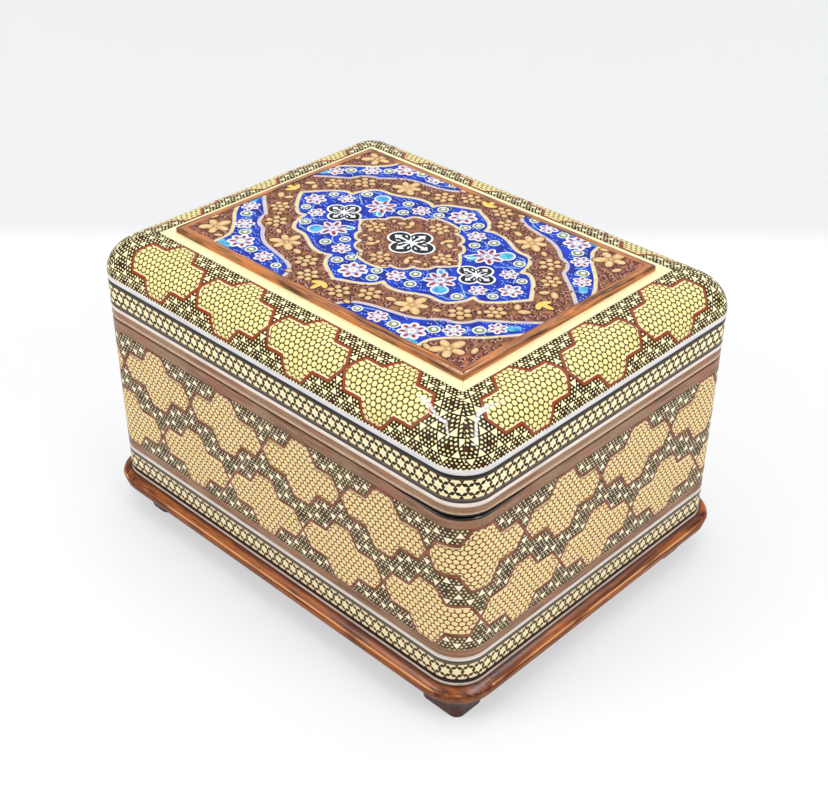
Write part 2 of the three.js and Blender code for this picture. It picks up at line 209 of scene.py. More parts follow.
def khatam(name, side, rise, rows, tones, end=None):
    """Inlaid sheets: medallions of pale dots, outlined, on a dark field of triangles and specks.

    side and rise are the length and the height of the pattern's triangles. rows has the middle of one
    medallion in each row. end has the middle and the half length of a sheet whose medallions stop short.
    """
    finish = Finish(name, lacquer=0.16, lacquer_roughness=0.035, shine=0.05)
    flat_u, flat_v, _ = finish.spread("UV")
    place = finish.gather(flat_u, flat_v)
    u = flat_u + (finish.noise(place, 0.35, 1.0) - 0.5) * 0.55
    v = flat_v + (finish.noise((flat_v, flat_u), 0.4, 1.0) - 0.5) * 0.5
    edge = medallion_edge(u, v, rows[0], side, rise)
    for centre in rows[1:]:
        edge = edge.least(medallion_edge(u, v, centre, side, rise))
    if end:
        edge = edge.most(((u - end[0]).size() - end[1]) * 5.0)
    clouds = finish.noise(place, 0.09, 3.0)
    grains = finish.noise(place, 0.9, 1.0)

    # the honeycomb inside a medallion
    pitch = side * DOT_PITCH
    row_rise = rise * DOT_RISE
    squash = pitch * TRIANGLE / row_rise
    cell = nearest_point(u - rows[0][0], (v - rows[0][1]) * squash, pitch)
    ivory = finish.mix(clouds, tones["dot"], tones["warm_dot"])
    ivory = finish.mix(grains.ramp(0.50, 0.66), ivory, tones["pink_dot"])
    ring = (cell - 0.42).size().ramp(0.30, 0.05) * 0.45
    ivory = finish.mix(ring, ivory, tones["dot_ring"])
    gaps = finish.mix(cell.ramp(pitch * 0.44, pitch * 0.56), tones["gap"], tones["deep_gap"])
    honeycomb = finish.mix(cell.ramp(pitch * 0.37, pitch * 0.445), ivory, gaps)

    # the dark field between medallions
    even = side * TRIANGLE / rise
    along = u - (rows[0][0] + 2.5 * side)
    upright = (v - rows[0][1]) * even
    height = side * TRIANGLE
    # specks stand five to a side of the large triangles, and in the middle of each is a small pale
    # triangle, which the tones call a star
    speck = nearest_point(along, upright, side / 5)
    knot = nearest_point(along, upright, side)
    band = upright.fold(height)
    aside = along.fold(side / 2)
    low = band - height / 3
    high = band - height * 2 / 3
    inverted = low.most((side / 2 - aside) * COS_30 - low * SIN_30)
    upward = (high * -1.0).most(aside * COS_30 + high * SIN_30)
    star = inverted.least(upward)
    shade = finish.mix(clouds.ramp(0.42, 0.58), tones["field"], tones["field_olive"])
    shade = finish.mix(grains.ramp(0.56, 0.72), shade, tones["field_brown"])
    shade = finish.mix(knot.ramp(0.75, 0.50), shade, tones["field_brown"])
    size = side * STAR_SIZE
    uneven = speck + (finish.noise(place, 0.8, 0.0) - 0.5) * 0.40
    dots = uneven.ramp(0.46, 0.36) * knot.ramp(0.60, 0.80) * star.ramp(size + 0.05, size + 0.18)
    field = finish.mix(dots, shade, finish.mix(grains, tones["speck"], tones["warm_speck"]))
    bright = finish.mix(clouds, tones["star"], tones["warm_star"])
    field = finish.mix(star.ramp(size + 0.06, size - 0.06), field, bright)

    # the outline, with a row of short pale dashes along its inner edge
    # the dashes are counted along u near a medallion's top and bottom edges, and along v elsewhere
    leaning = (v - rows[0][1]).size().fold(rise).ramp(1.0, 1.5)
    run = u * (1.0 - leaning) + v * 1.16 * leaning
    dash = (run.fold(pitch / 2) - pitch * 0.30).most((edge + 0.88).size() - 0.27)
    rim = finish.mix(dash.ramp(0.10, -0.04), tones["gap"], finish.mix(grains, tones["dash"], tones["dot"]))
    inner = finish.mix(edge.ramp(-1.30, -1.18), honeycomb, rim)
    streaks = finish.noise((u * 0.5, v * 0.8), 0.35, 3.0)
    line = finish.mix(streaks.ramp(0.42, 0.60), tones["line"], tones["rose_line"])
    line = finish.mix(edge.size().ramp(0.34, 0.62) * 0.55, line, tones["line_edge"])
    inside = finish.mix(edge.ramp(-0.66, -0.56), inner, line)
    return finish.done(finish.mix(edge.ramp(0.55, 0.66), inside, field), finish.noise(place, 0.16, 2.0), 0.05)


def star_strip(name, pitch, middle, tones):
    """A narrow inlaid strip of six-pointed stars, with dark lozenges where two stars stand side by side."""
    finish = Finish(name, lacquer=0.24, lacquer_roughness=0.035, shine=0.08)
    flat_u, flat_v, _ = finish.spread("UV")
    place = finish.gather(flat_u, flat_v)
    u = flat_u + (finish.noise(place, 0.5, 1.0) - 0.5) * 0.35
    height = flat_v - middle + (finish.noise((flat_v, flat_u), 0.5, 1.0) - 0.5) * 0.3
    rise = pitch * TRIANGLE
    half = pitch / 2
    lozenge = None
    for turn in (0.0, math.pi / 3, -math.pi / 3):
        x = u * math.cos(turn) + height * math.sin(turn)
        y = height * math.cos(turn) - u * math.sin(turn)
        across = (x - half).fold(half)
        up = y.fold(rise)
        first = across * (1 / 0.74) + up * (1 / 1.40)
        second = (half - across) * (1 / 0.74) + (rise - up) * (1 / 1.40)
        here = first.least(second)
        lozenge = here if lozenge is None else lozenge.least(here)
    clouds = finish.noise(place, 0.2, 3.0)
    grains = finish.noise(place, 0.9, 1.0)
    centre = nearest_point(u, height, pitch)
    stars = finish.mix(clouds, tones["star"], tones["warm_star"])
    stars = finish.mix(height.size().ramp(1.6, 2.4), stars, tones["outer_star"])
    stars = finish.mix(centre.ramp(0.8, 0.1) * 0.4, stars, tones["star_heart"])
    stars = finish.mix(grains.ramp(0.52, 0.70) * 0.45, stars, tones["star_heart"])
    dark = finish.mix(clouds.ramp(0.45, 0.6), tones["lozenge"], tones["warm_lozenge"])
    return finish.done(finish.mix(lozenge.ramp(1.02, 1.18), dark, stars),
                       finish.noise(place, 0.16, 2.0), 0.04)


def ply_string(name, low, high, lower_colour, upper_colour, split=0.5, soft=0.18):
    """A stringing of two plies, one over the other."""
    finish = Finish(name, lacquer=0.24, lacquer_roughness=0.035, shine=0.1)
    u, v, _ = finish.spread("UV")
    fibres = finish.noise((u * 0.25, v * 4.0), 1.0, 3.0, 0.6)
    stains = finish.noise((u * 0.08, v * 0.6))
    share = (v - low) * (1 / (high - low))
    plies = finish.mix(share.ramp(split - soft, split + soft), lower_colour, upper_colour)
    deeper = pigment(lower_colour, 0.68)
    plies = finish.mix(stains.ramp(0.45, 0.70) * 0.45, plies, deeper)
    return finish.done(finish.mix(fibres.ramp(0.45, 0.75) * 0.45, plies, deeper), fibres, 0.015)


def brown_band(name, light, dark, lip=None):
    """Thin walnut veneer, speckled finely along the grain, with painted shadow where the lid shuts on the
    case.
    """
    finish = Finish(name, lacquer=0.25, lacquer_roughness=0.05, shine=0.12)
    x, y, z = finish.spread()
    grain = finish.noise((x * 0.05, y * 0.05, z * 1.1), 1.0, 4.0, 0.6)
    speckle = finish.noise((x * 0.6, y * 0.6, z * 4.0), 1.0, 2.0, 0.7)
    patches = finish.noise((x, y, z * 0.5), 0.045, 2.0)
    rosy = finish.noise((y, x, z * 0.5), 0.06, 2.0)
    wood = finish.mix(grain.ramp(0.36, 0.64), dark, light)
    wood = finish.mix(patches.ramp(0.46, 0.62) * 0.6, wood, (156, 126, 96))
    wood = finish.mix(rosy.ramp(0.50, 0.66) * 0.45, wood, (158, 96, 72))
    if lip:
        wood = finish.mix(z.ramp(lip + 1.1, lip + 0.3) * 0.8, wood, (206, 176, 146))
    wood = finish.mix(speckle.ramp(0.54, 0.70) * 0.6, wood, (74, 46, 34))
    # the painted shadow line is broader and darker near the front right corner
    front = (x - y).ramp(140.0, 170.0)
    shadow_reach = front * 0.85 + grain * 0.2
    gap = finish.mix(front, (74, 36, 22), (20, 9, 5))
    # painted shadow of the gap between lid and case, along the shut line
    wood = finish.mix((z - SHUT).size().ramp(shadow_reach + 0.40, shadow_reach + 0.22), wood, gap)
    return finish.done(wood, grain, 0.03)


def walnut(name, along, light, dark, ember, lacquer=0.3, plinth=False):
    """Figured walnut, with its grain along x (0) or y (1)."""
    finish = Finish(name, lacquer=lacquer, lacquer_roughness=0.3 if plinth else 0.08,
                    shine=0.05 if plinth else 0.12)
    spot = finish.spread()
    run, across, height = spot[along], spot[1 - along], spot[2]
    drift = finish.noise((run * 0.012, across * 0.1, height * 0.1)) * 7.0
    grain = finish.noise((run * 0.03, across * 0.7 + drift, height * 0.7), 1.0, 5.0, 0.62)
    pores = finish.noise((run * 0.16, across * 3.2, height * 3.2))
    patches = finish.noise((run * 0.035, across * 0.2, height * 0.12), 1.4, 2.0)
    deep = pigment(dark, 0.30)
    wood = finish.mix(grain.ramp(0.36, 0.64), dark, light)
    wood = finish.mix(patches.ramp(0.46, 0.64) * 0.85, wood, ember)
    wood = finish.mix(grain.ramp(0.44, 0.34) * 0.8, wood, deep)
    wood = finish.mix(pores.ramp(0.58, 0.72) * 0.7, wood, deep)
    if plinth:
        # greyer low down, painted shade on the ledge under the case, and a broken painted highlight along the
        # arris just below it
        wood = finish.mix(height.ramp(14.0, 11.4) * 0.6, wood, (128, 96, 78))
        wood = finish.mix(height.ramp(16.7, 16.98) * 0.7, wood, (60, 32, 22))
        # a broken pale line along the arris: painted highlight
        painted_arris_highlight = (height - 15.35).size().ramp(0.34, 0.10) * patches.ramp(0.36, 0.56)
        wood = finish.mix(painted_arris_highlight * 0.75, wood, (226, 178, 132))
    return finish.done(wood, grain + pores * 0.6, 0.05, pores.ramp(0.4, 0.8, 0.36, 0.55))


def bone(name, along):
    """Camel bone strips, ivory with faint lengthwise fibres."""
    finish = Finish(name, roughness=0.38, lacquer=0.5, lacquer_roughness=0.04)
    spot = finish.spread()
    run, across = spot[along], spot[1 - along]
    fibres = finish.noise((run * 0.06, across * 2.4), 1.0, 3.0, 0.6)
    clouds = finish.noise((run * 0.05, across * 0.3))
    ivory = finish.mix(clouds, (253, 244, 180), (254, 249, 202))
    return finish.done(finish.mix(fibres.ramp(0.55, 0.75) * 0.35, ivory, (226, 206, 146)), fibres, 0.02)


def plain_wood(name, along, light, dark):
    """The carcass boards, darkened along the rims where the case and the lid meet: painted shadow of the gap.
    """
    finish = Finish(name, roughness=0.7, shine=0.15)
    spot = finish.spread()
    run, across, z = spot[along], spot[1 - along], spot[2]
    grain = finish.noise((run * 0.03, across * 0.7, z * 0.7), 1.0, 4.0, 0.6)
    fibres = finish.noise((run * 0.4, across * 3.0, z * 3.0))
    wood = finish.mix(grain.ramp(0.38, 0.62), dark, light)
    wood = finish.mix(fibres.ramp(0.55, 0.75) * 0.4, wood, dark)
    # near black along the rims where the case and the lid meet: painted shadow
    return finish.done(finish.mix((z - BOARDS_MEET).size().ramp(1.6, 1.0), wood, (52, 32, 24)), fibres, 0.04)


def brass(name, light, dark, face=None):
    """Rolled brass, brushed along the hinge and a little tarnished, with painted shade in the recesses behind
    the face of a screw.
    """
    finish = Finish(name, roughness=0.3, metal=1.0)
    x, y, z = finish.spread()
    brushing = finish.noise((x * 0.3, y * 6.0, z * 6.0))
    tarnish = finish.noise((x, y, z), 0.25, 3.0)
    metal = finish.mix(tarnish.ramp(0.4, 0.7), light, dark)
    if face:
        # painted shade in the slot and the ring below a screw's raised face
        metal = finish.mix((z - face).size().ramp(0.05, 0.075), metal, (34, 22, 10))
    return finish.done(metal, brushing, 0.02, brushing.ramp(0.3, 0.7, 0.22, 0.42))


def velvet(name):
    """Deep red velvet, with a short pile that lies in soft patches."""
    finish = Finish(name, roughness=0.9, shine=0.1)
    place = finish.gather(*finish.spread())
    pile = finish.noise(place, 2.2, 2.0, 0.6)
    lie = finish.noise(place, 0.05, 3.0, 0.5, 0.6)
    red = finish.mix(lie.ramp(0.35, 0.68), (96, 10, 22), (146, 24, 38))
    for entry, value in (("Sheen Weight", 0.6), ("Sheen Roughness", 0.35), ("Sheen Tint", (250, 150, 150))):
        feed(finish.tree, value, finish.shader.inputs[entry])
    return finish.done(finish.mix(pile.ramp(0.5, 0.7) * 0.5, red, (66, 4, 14)), pile, 0.25)


def paint(name, first, second, scale):
    """A painted colour, laid by brush, so it is uneven between two shades."""
    finish = Finish(name, lacquer=0.16, lacquer_roughness=0.08, shine=0.08)
    x, y, _ = finish.spread()
    place = finish.gather(x, y)
    clouds = finish.noise(place, scale, 3.0, 0.6)
    tone = finish.mix(clouds.ramp(0.38, 0.62), first, second)
    return finish.done(tone, finish.noise(place, 2.5, 2.0), 0.02)


def stained_ground(name):
    """The brown ground under the gilt work, stained plum in places and rosy in the corners."""
    finish = Finish(name, lacquer=0.16, lacquer_roughness=0.08, shine=0.08)
    x, y, _ = finish.spread()
    place = finish.gather(x, y)
    clouds = finish.noise(place, 0.25, 3.0, 0.6)
    stains = finish.noise((y, x), 0.34, 2.0, 0.6, 0.8)
    shade = finish.mix(clouds.ramp(0.38, 0.62), (174, 118, 76), (138, 88, 54))
    shade = finish.mix(stains.ramp(0.47, 0.56) * 0.7, shade, (94, 46, 46))
    corner = (x.size() * 0.7 + y.size()).ramp(82.0, 96.0)
    shade = finish.mix(corner * stains.ramp(0.56, 0.44) * 0.6, shade, (196, 112, 88))
    return finish.done(shade, finish.noise(place, 2.5, 2.0), 0.02)


# Pieces and how they are built

def new_object(name, data):
    """A new object, in the scene."""
    item = bpy.data.objects.new(name, data)
    bpy.context.scene.collection.objects.link(item)
    return item


def settle(bm, name, material, body, stands_for=(), smooth=32.0, bevel=0.0):
    """Makes a finished piece of the box from its mesh in millimetres."""
    bmesh.ops.scale(bm, vec=(MM, MM, MM), verts=bm.verts)
    mesh = bpy.data.meshes.new(name)
    bm.to_mesh(mesh)
    bm.free()
    mesh.polygons.foreach_set("use_smooth", [True] * len(mesh.polygons))
    mesh.set_sharp_from_angle(angle=math.radians(smooth))
    mesh.materials.append(material)
    piece = new_object(name, mesh)
    if bevel:
        edge = piece.modifiers.new("soft edges", "BEVEL")
        edge.width = bevel * MM
        edge.segments = 2
        edge.limit_method = "ANGLE"
        edge.angle_limit = math.radians(38.0)
        edge.harden_normals = True
    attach(piece, body)
    if stands_for:
        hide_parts(*stands_for)
    return piece


def refine(node, name, material, body, smooth=30.0, bevel=0.0):
    """Dresses one solid of the frame as a piece, merged and ready for finer edges."""
    bm = bmesh.new()
    bm.from_mesh(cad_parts[node].data)
    bmesh.ops.scale(bm, vec=(1 / MM, 1 / MM, 1 / MM), verts=bm.verts)
    bmesh.ops.remove_doubles(bm, verts=bm.verts, dist=SAME_POINT)
    bmesh.ops.dissolve_limit(bm, angle_limit=math.radians(0.6), verts=bm.verts, edges=bm.edges)
    settle(bm, name, material, body, [node], smooth, bevel)


def ends_of(made):
    """The points, and the edges, among what an operation made."""
    return [[item for item in made if isinstance(item, kind)]
            for kind in (bmesh.types.BMVert, bmesh.types.BMEdge)]


def run_round(side, step, half, radius):
    """The place and the run of one step along a side, from mid-corner to mid-corner."""
    reach = (half[side % 2] - radius, half[1 - side % 2])
    if ARC_STEPS <= step <= ARC_STEPS + STRAIGHT_STEPS:
        share = (step - ARC_STEPS) / STRAIGHT_STEPS
        along = run = reach[0] * (2 * share - 1)
        out = reach[1]
    else:
        sign = -1 if step < ARC_STEPS else 1
        count = ARC_STEPS - step if sign < 0 else step - ARC_STEPS - STRAIGHT_STEPS
        turn = math.pi / 4 * count / ARC_STEPS * sign
        along = sign * reach[0] + radius * math.sin(turn)
        out = reach[1] - radius + radius * math.cos(turn)
        run = sign * reach[0] + turn * radius
    spot = Matrix.Rotation(side * math.pi / 2, 2) @ Vector((along, -out))
    return spot, run


def bent_sheet(side, rows, contour, thickness):
    """A flat sheet bent round one side of the box. contour(share) gives each row's outline."""
    bm = bmesh.new()
    columns = STRAIGHT_STEPS + 2 * ARC_STEPS
    bmesh.ops.create_grid(bm, x_segments=columns, y_segments=rows, size=1.0)
    layer = bm.loops.layers.uv.new("laid_flat")
    flat = {}
    for vert in bm.verts:
        step = round((vert.co.x + 1) / 2 * columns)
        half, radius, z, up, start = contour((vert.co.y + 1) / 2)
        spot, run = run_round(side, step, half, radius)
        flat[vert] = (run + start, up)
        vert.co = (spot.x, spot.y, z)
    for face in bm.faces:
        for loop in face.loops:
            loop[layer].uv = flat[loop.vert]
    bmesh.ops.recalc_face_normals(bm, faces=bm.faces)
    middle = Vector((0.0, 0.0, 80.0))
    if sum((face.calc_center_median() - middle).dot(face.normal) for face in bm.faces) < 0:
        bmesh.ops.reverse_faces(bm, faces=bm.faces)
    bmesh.ops.solidify(bm, geom=bm.faces[:], thickness=thickness)
    return bm


def run_at(spot):
    """How far round the box a point is, from the middle of the front, by way of the right."""
    x, y = spot.x, spot.y
    inner = (BOX_HALF[0] - CORNER, BOX_HALF[1] - CORNER)
    if abs(x) <= inner[0]:
        return x if y < 0 else 2 * QUARTER_RUN - x
    if abs(y) <= inner[1]:
        run = inner[0] + CORNER * math.pi / 2 + inner[1] + y
    else:
        turn = math.atan2(abs(x) - inner[0], abs(y) - inner[1])
        run = inner[0] + turn * CORNER
        if y > 0:
            run = 2 * QUARTER_RUN - run
    return run if x > 0 else 4 * QUARTER_RUN - run


def wrap(node, material, low, high, crown=0.0, pitch=None):
    """A band laid all the way round the case or the lid, with an optional low crown."""
    body = node.split("_")[0]
    depth = VENEER[body]
    section = [(-depth, high), (-depth, low), (0.0, low)]
    if crown:
        section += [(crown, low + (high - low) * 0.3), (crown, low + (high - low) * 0.7)]
    section += [(0.0, high)]
    bm = bmesh.new()
    start = Vector((CORNER - BOX_HALF[0], -BOX_HALF[1], 0.0))
    verts = [bm.verts.new(start + Vector((0.0, -out, z))) for out, z in section]
    edges = [bm.edges.new(pair) for pair in zip(verts, verts[1:] + verts[:1])]
    for side in range(4):
        turn = Matrix.Rotation(side * math.pi / 2, 3, "Z")
        reach = BOX_HALF[side % 2] - CORNER
        verts, edges = ends_of(bmesh.ops.extrude_edge_only(bm, edges=edges)["geom"])
        bmesh.ops.translate(bm, vec=turn @ Vector((2 * reach, 0.0, 0.0)), verts=verts)
        corner = turn @ Vector((reach, CORNER - BOX_HALF[1 - side % 2], 0.0))
        verts, edges = ends_of(bmesh.ops.spin(bm, geom=verts + edges, cent=corner, axis=(0.0, 0.0, 1.0),
                                              angle=math.pi / 2, steps=20)["geom_last"])
    bmesh.ops.remove_doubles(bm, verts=bm.verts, dist=SAME_POINT)
    bmesh.ops.recalc_face_normals(bm, faces=bm.faces)
    total = 4 * QUARTER_RUN
    stretch = round(total / pitch) * pitch / total if pitch else 1.0
    layer = bm.loops.layers.uv.new("laid_flat")
    for face in bm.faces:
        middle = run_at(face.calc_center_median())
        for loop in face.loops:
            run = run_at(loop.vert.co)
            run += total * round((middle - run) / total)
            loop[layer].uv = (run * stretch, loop.vert.co.z)
    settle(bm, f"{node}_ring", material, body, [node], smooth=40.0)


def string_round(node, name, low, high, lower_colour, upper_colour, split=0.5, soft=0.18):
    """A stringing of two plies, laid round the box. The pale ones have a low crown."""
    plies = ply_string(name, low, high, lower_colour, upper_colour, split, soft)
    if "pale" in node:
        wrap(node, plies, low, high, crown=0.1)
    else:
        wrap(node, plies, low, high)


# The case

CASE_FIELD = (34.4, 88.1)
CASE_SIDE = 8.5
CASE_RISE = 6.66
CASE_ROWS = ((19.9, 74.3), (-1.35, 47.7))
STAR_PITCH = 4.2


def case_sheets():
    """Four khatam sheets wrapped round the case and mitred in its rounded corners."""
    tones = {
        "dot": (252, 232, 170), "warm_dot": (248, 226, 160),
        "pink_dot": (244, 206, 168), "dot_ring": (228, 182, 128),
        "gap": (130, 96, 50), "deep_gap": (84, 56, 26),
        "field": (58, 46, 30), "field_olive": (82, 72, 46), "field_brown": (92, 62, 44),
        "speck": (232, 218, 184), "warm_speck": (222, 200, 156),
        "star": (248, 236, 194), "warm_star": (250, 236, 212),
        "dash": (250, 224, 190),
        "line": (122, 68, 46), "rose_line": (152, 96, 76), "line_edge": (86, 46, 30),
    }
    sheet = khatam("case_khatam", CASE_SIDE, CASE_RISE, CASE_ROWS, tones)
    for side, name in enumerate(SIDES):
        # each side's own middle, on the run of the pattern round the case
        def contour(share, start=(0.0, QUARTER_RUN, 2 * QUARTER_RUN, -QUARTER_RUN)[side]):
            z = CASE_FIELD[0] + (CASE_FIELD[1] - CASE_FIELD[0]) * share
            return BOX_HALF, CORNER, z, z, start
        bm = bent_sheet(side, 1, contour, VENEER["case"])
        settle(bm, f"khatam_case_{name}", sheet, "case", [f"case_khatam_{name}"])


def case_bands():
    """The bands and stringings that run round the case, above and below the khatam."""
    tones = {
        "star": (240, 226, 176), "warm_star": (246, 232, 190),
        "outer_star": (236, 216, 176), "star_heart": (228, 200, 142),
        "lozenge": (66, 54, 24), "warm_lozenge": (88, 60, 34),
    }
    string_round("case_pale_string_upper", "case_pale_string", 28.9, 30.6, (232, 222, 212), (214, 202, 192))
    string_round("case_dark_string_upper", "case_dark_string", 27.1, 28.9, (104, 92, 72), (74, 70, 66))
    wrap("case_star_strip", star_strip("case_star_strip", STAR_PITCH, 23.75, tones), 20.2, 27.1,
         pitch=STAR_PITCH)
    string_round("case_dark_string_lower", "case_foot_dark_string", 18.4, 20.2, (40, 24, 12), (30, 20, 10))
    string_round("case_pale_string_lower", "case_foot_string", 17.0, 18.4, (150, 128, 116),
                 (214, 198, 188), 0.3)
    band = brown_band("case_brown_band", (162, 120, 90), (112, 74, 52))
    for node, bevel in (("case_top_band", 0.3), ("case_lower_band", 0.0)):
        refine(node, f"{node}_veneer", band, "case", 34.0, bevel)


def plinth_and_feet():
    """Four walnut rails laid pinwheel fashion, on four block feet."""
    light, dark, ember = (142, 76, 36), (90, 42, 22), (176, 94, 32)
    woods = [walnut(f"plinth_walnut_{way}", way, light, dark, ember, 0.08, plinth=True) for way in (0, 1)]
    for side, name in enumerate(SIDES):
        refine(f"plinth_rail_{name}", f"plinth_{name}", woods[side % 2], "case", bevel=0.22)
    stained = walnut("foot_walnut", 0, (62, 32, 22), (32, 18, 14), (84, 38, 24), 0.15)
    for name in ("front_right", "front_left", "back_right", "back_left"):
        refine(f"foot_{name}", f"block_foot_{name}", stained, "case", 34.0, 0.4)


# The lid

def lid_bands():
    """The rim band, stringings and star strip that run round the lid."""
    tones = {
        "star": (248, 236, 184), "warm_star": (252, 242, 200),
        "outer_star": (246, 230, 184), "star_heart": (232, 208, 146),
        "lozenge": (44, 32, 8), "warm_lozenge": (72, 46, 16),
    }
    string_round("lid_pale_string_upper", "lid_pale_string", 110.5, 112.6, (222, 218, 220), (234, 228, 228))
    string_round("lid_dark_string_upper", "lid_dark_string", 108.5, 110.5, (84, 70, 54), (22, 20, 26),
                 0.26, 0.12)
    wrap("lid_star_strip", star_strip("lid_star_strip", STAR_PITCH, 104.8, tones), 101.1, 108.5,
         pitch=STAR_PITCH)
    string_round("lid_dark_string_lower", "lid_low_dark_string", 99.2, 101.1, (66, 58, 58), (104, 90, 74))
    string_round("lid_pale_string_lower", "lid_low_pale_string", 97.5, 99.2, (222, 204, 190),
                 (242, 228, 216), 0.35)
    band = brown_band("lid_brown_band", (168, 126, 96), (120, 80, 58), 94.4)
    refine("lid_rim_band", "lid_rim_veneer", band, "lid", 34.0, 0.4)


DOME_REACH = 19.4
DOME_RISE = 15.4
DOME_FOOT = 112.6
DOME_SIDES = (7.886, 8.06)
DOME_ROWS = tuple(COS_30 * side for side in DOME_SIDES)


def roll_length(turn):
    """The length of the dome's roll from its foot to that turn, on its quarter ellipse."""
    steps = 60
    total = 0.0
    for step in range(steps):
        here = turn * (step + 0.5) / steps
        total += math.hypot(DOME_REACH * math.sin(here), DOME_RISE * math.cos(here)) * turn / steps
    return total


def dome_sheets():
    """Four khatam sheets rolled over the dome, mitred in its corners."""
    tones = {
        "dot": (254, 246, 178), "warm_dot": (252, 238, 158),
        "pink_dot": (254, 232, 168), "dot_ring": (242, 210, 124),
        "gap": (110, 88, 30), "deep_gap": (48, 34, 8),
        "field": (30, 11, 0), "field_olive": (38, 26, 0), "field_brown": (84, 38, 8),
        "speck": (254, 246, 196), "warm_speck": (252, 232, 156),
        "star": (252, 242, 182), "warm_star": (254, 248, 206),
        "dash": (254, 226, 186),
        "line": (160, 58, 20), "rose_line": (146, 76, 44), "line_edge": (98, 36, 12),
    }
    sheets = (
        khatam("dome_khatam_long", DOME_SIDES[0], DOME_ROWS[0], ((18.7, 0.0),), tones, (-1.0, 78.85)),
        khatam("dome_khatam_short", DOME_SIDES[1], DOME_ROWS[1], ((0.1, 0.0),), tones, (0.0, 60.4)),
    )
    for side, name in enumerate(SIDES):
        def contour(share, rise=DOME_ROWS[side % 2]):
            turn = share * math.pi / 2
            out = DOME_REACH * math.cos(turn)
            half = (BOX_HALF[0] - DOME_REACH + out, BOX_HALF[1] - DOME_REACH + out)
            radius = max(CORNER * out / DOME_REACH, 0.05)
            z = DOME_FOOT + DOME_RISE * math.sin(turn)
            # rows of triangles are lower towards the dome's foot and its top than halfway up
            across = roll_length(turn) - 14.1
            up = rise * (0.1389 * across + 1.032e-4 * across ** 3)
            return half, radius, z, up, 0.0
        bm = bent_sheet(side, 24, contour, VENEER["lid"])
        settle(bm, f"khatam_dome_{name}", sheets[side % 2], "lid", [f"dome_khatam_{name}"],
               smooth=60.0)


def panel_frame():
    """The bone border and the walnut moulding round the painted board, mitred."""
    light, dark, ember = (200, 130, 76), (92, 48, 28), (212, 130, 66)
    for side, name in enumerate(SIDES):
        way = side % 2
        wood = walnut(f"moulding_walnut_{name}", way, light, dark, ember)
        ivory = bone(f"bone_{name}", way)
        refine(f"panel_moulding_{name}", f"moulding_{name}", wood, "lid", bevel=0.15)
        refine(f"bone_strip_{name}", f"bone_border_{name}", ivory, "lid", bevel=0.08)


# The painted panel. Its ornament is laid on in coats, each a little above the one before.

BOARD_TOP = 130.0
BOARD_HALF = (73.2, 50.3)
CENTRE = Vector((-2.3, 1.7))
LEAN = -0.017
WAVER = 0.9
WAVER_SCALE = 0.045
COAT = 0.012
QUARTERS = ((1, 1), (-1, 1), (-1, -1), (1, -1))


def on_board(x, y):
    """Where a place of the drawing falls on the board, since it was drawn by hand."""
    spot = Vector((x, y + x * LEAN)) + CENTRE
    drift = [noise.noise(Vector((spot.x * WAVER_SCALE, spot.y * WAVER_SCALE, layer)))
             for layer in (3.3, 17.6)]
    return spot + Vector(drift) * WAVER


def away(x, y, reach, angle):
    """The place at that reach from another, in the direction of the angle."""
    return (x + reach * math.cos(angle), y + reach * math.sin(angle))


def mirrored(line, sx, sy):
    """A line carried over to one quarter of the board."""
    return [Vector((sx * spot.x, sy * spot.y)) for spot in line]


def traced(points):
    """A smooth line through points, with a corner wherever a point has a third item."""
    line = []
    for here in range(len(points) - 1):
        first, second = Vector(points[here][:2]), Vector(points[here + 1][:2])
        before = Vector(points[here - 1][:2]) if here and len(points[here]) == 2 else first
        last = here + 2 >= len(points) or len(points[here + 1]) == 3
        after = second if last else Vector(points[here + 2][:2])
        lean_in, lean_out = (second - before) / 2, (after - first) / 2
        steps = max(2, round((second - first).length / 0.7))
        for step in range(steps):
            t = step / steps
            line.append(first * (2 * t ** 3 - 3 * t ** 2 + 1) + lean_in * (t ** 3 - 2 * t ** 2 + t)
                        + second * (3 * t ** 2 - 2 * t ** 3) + lean_out * (t ** 3 - t ** 2))
    line.append(Vector(points[-1][:2]))
    return line


def all_round(quarter):
    """A closed outline from a quarter that runs from its right tip to its top."""
    line = traced(quarter)
    upper = line + [Vector((-spot.x, spot.y)) for spot in reversed(line[:-1])]
    return upper + [Vector((spot.x, -spot.y)) for spot in reversed(upper[1:-1])]


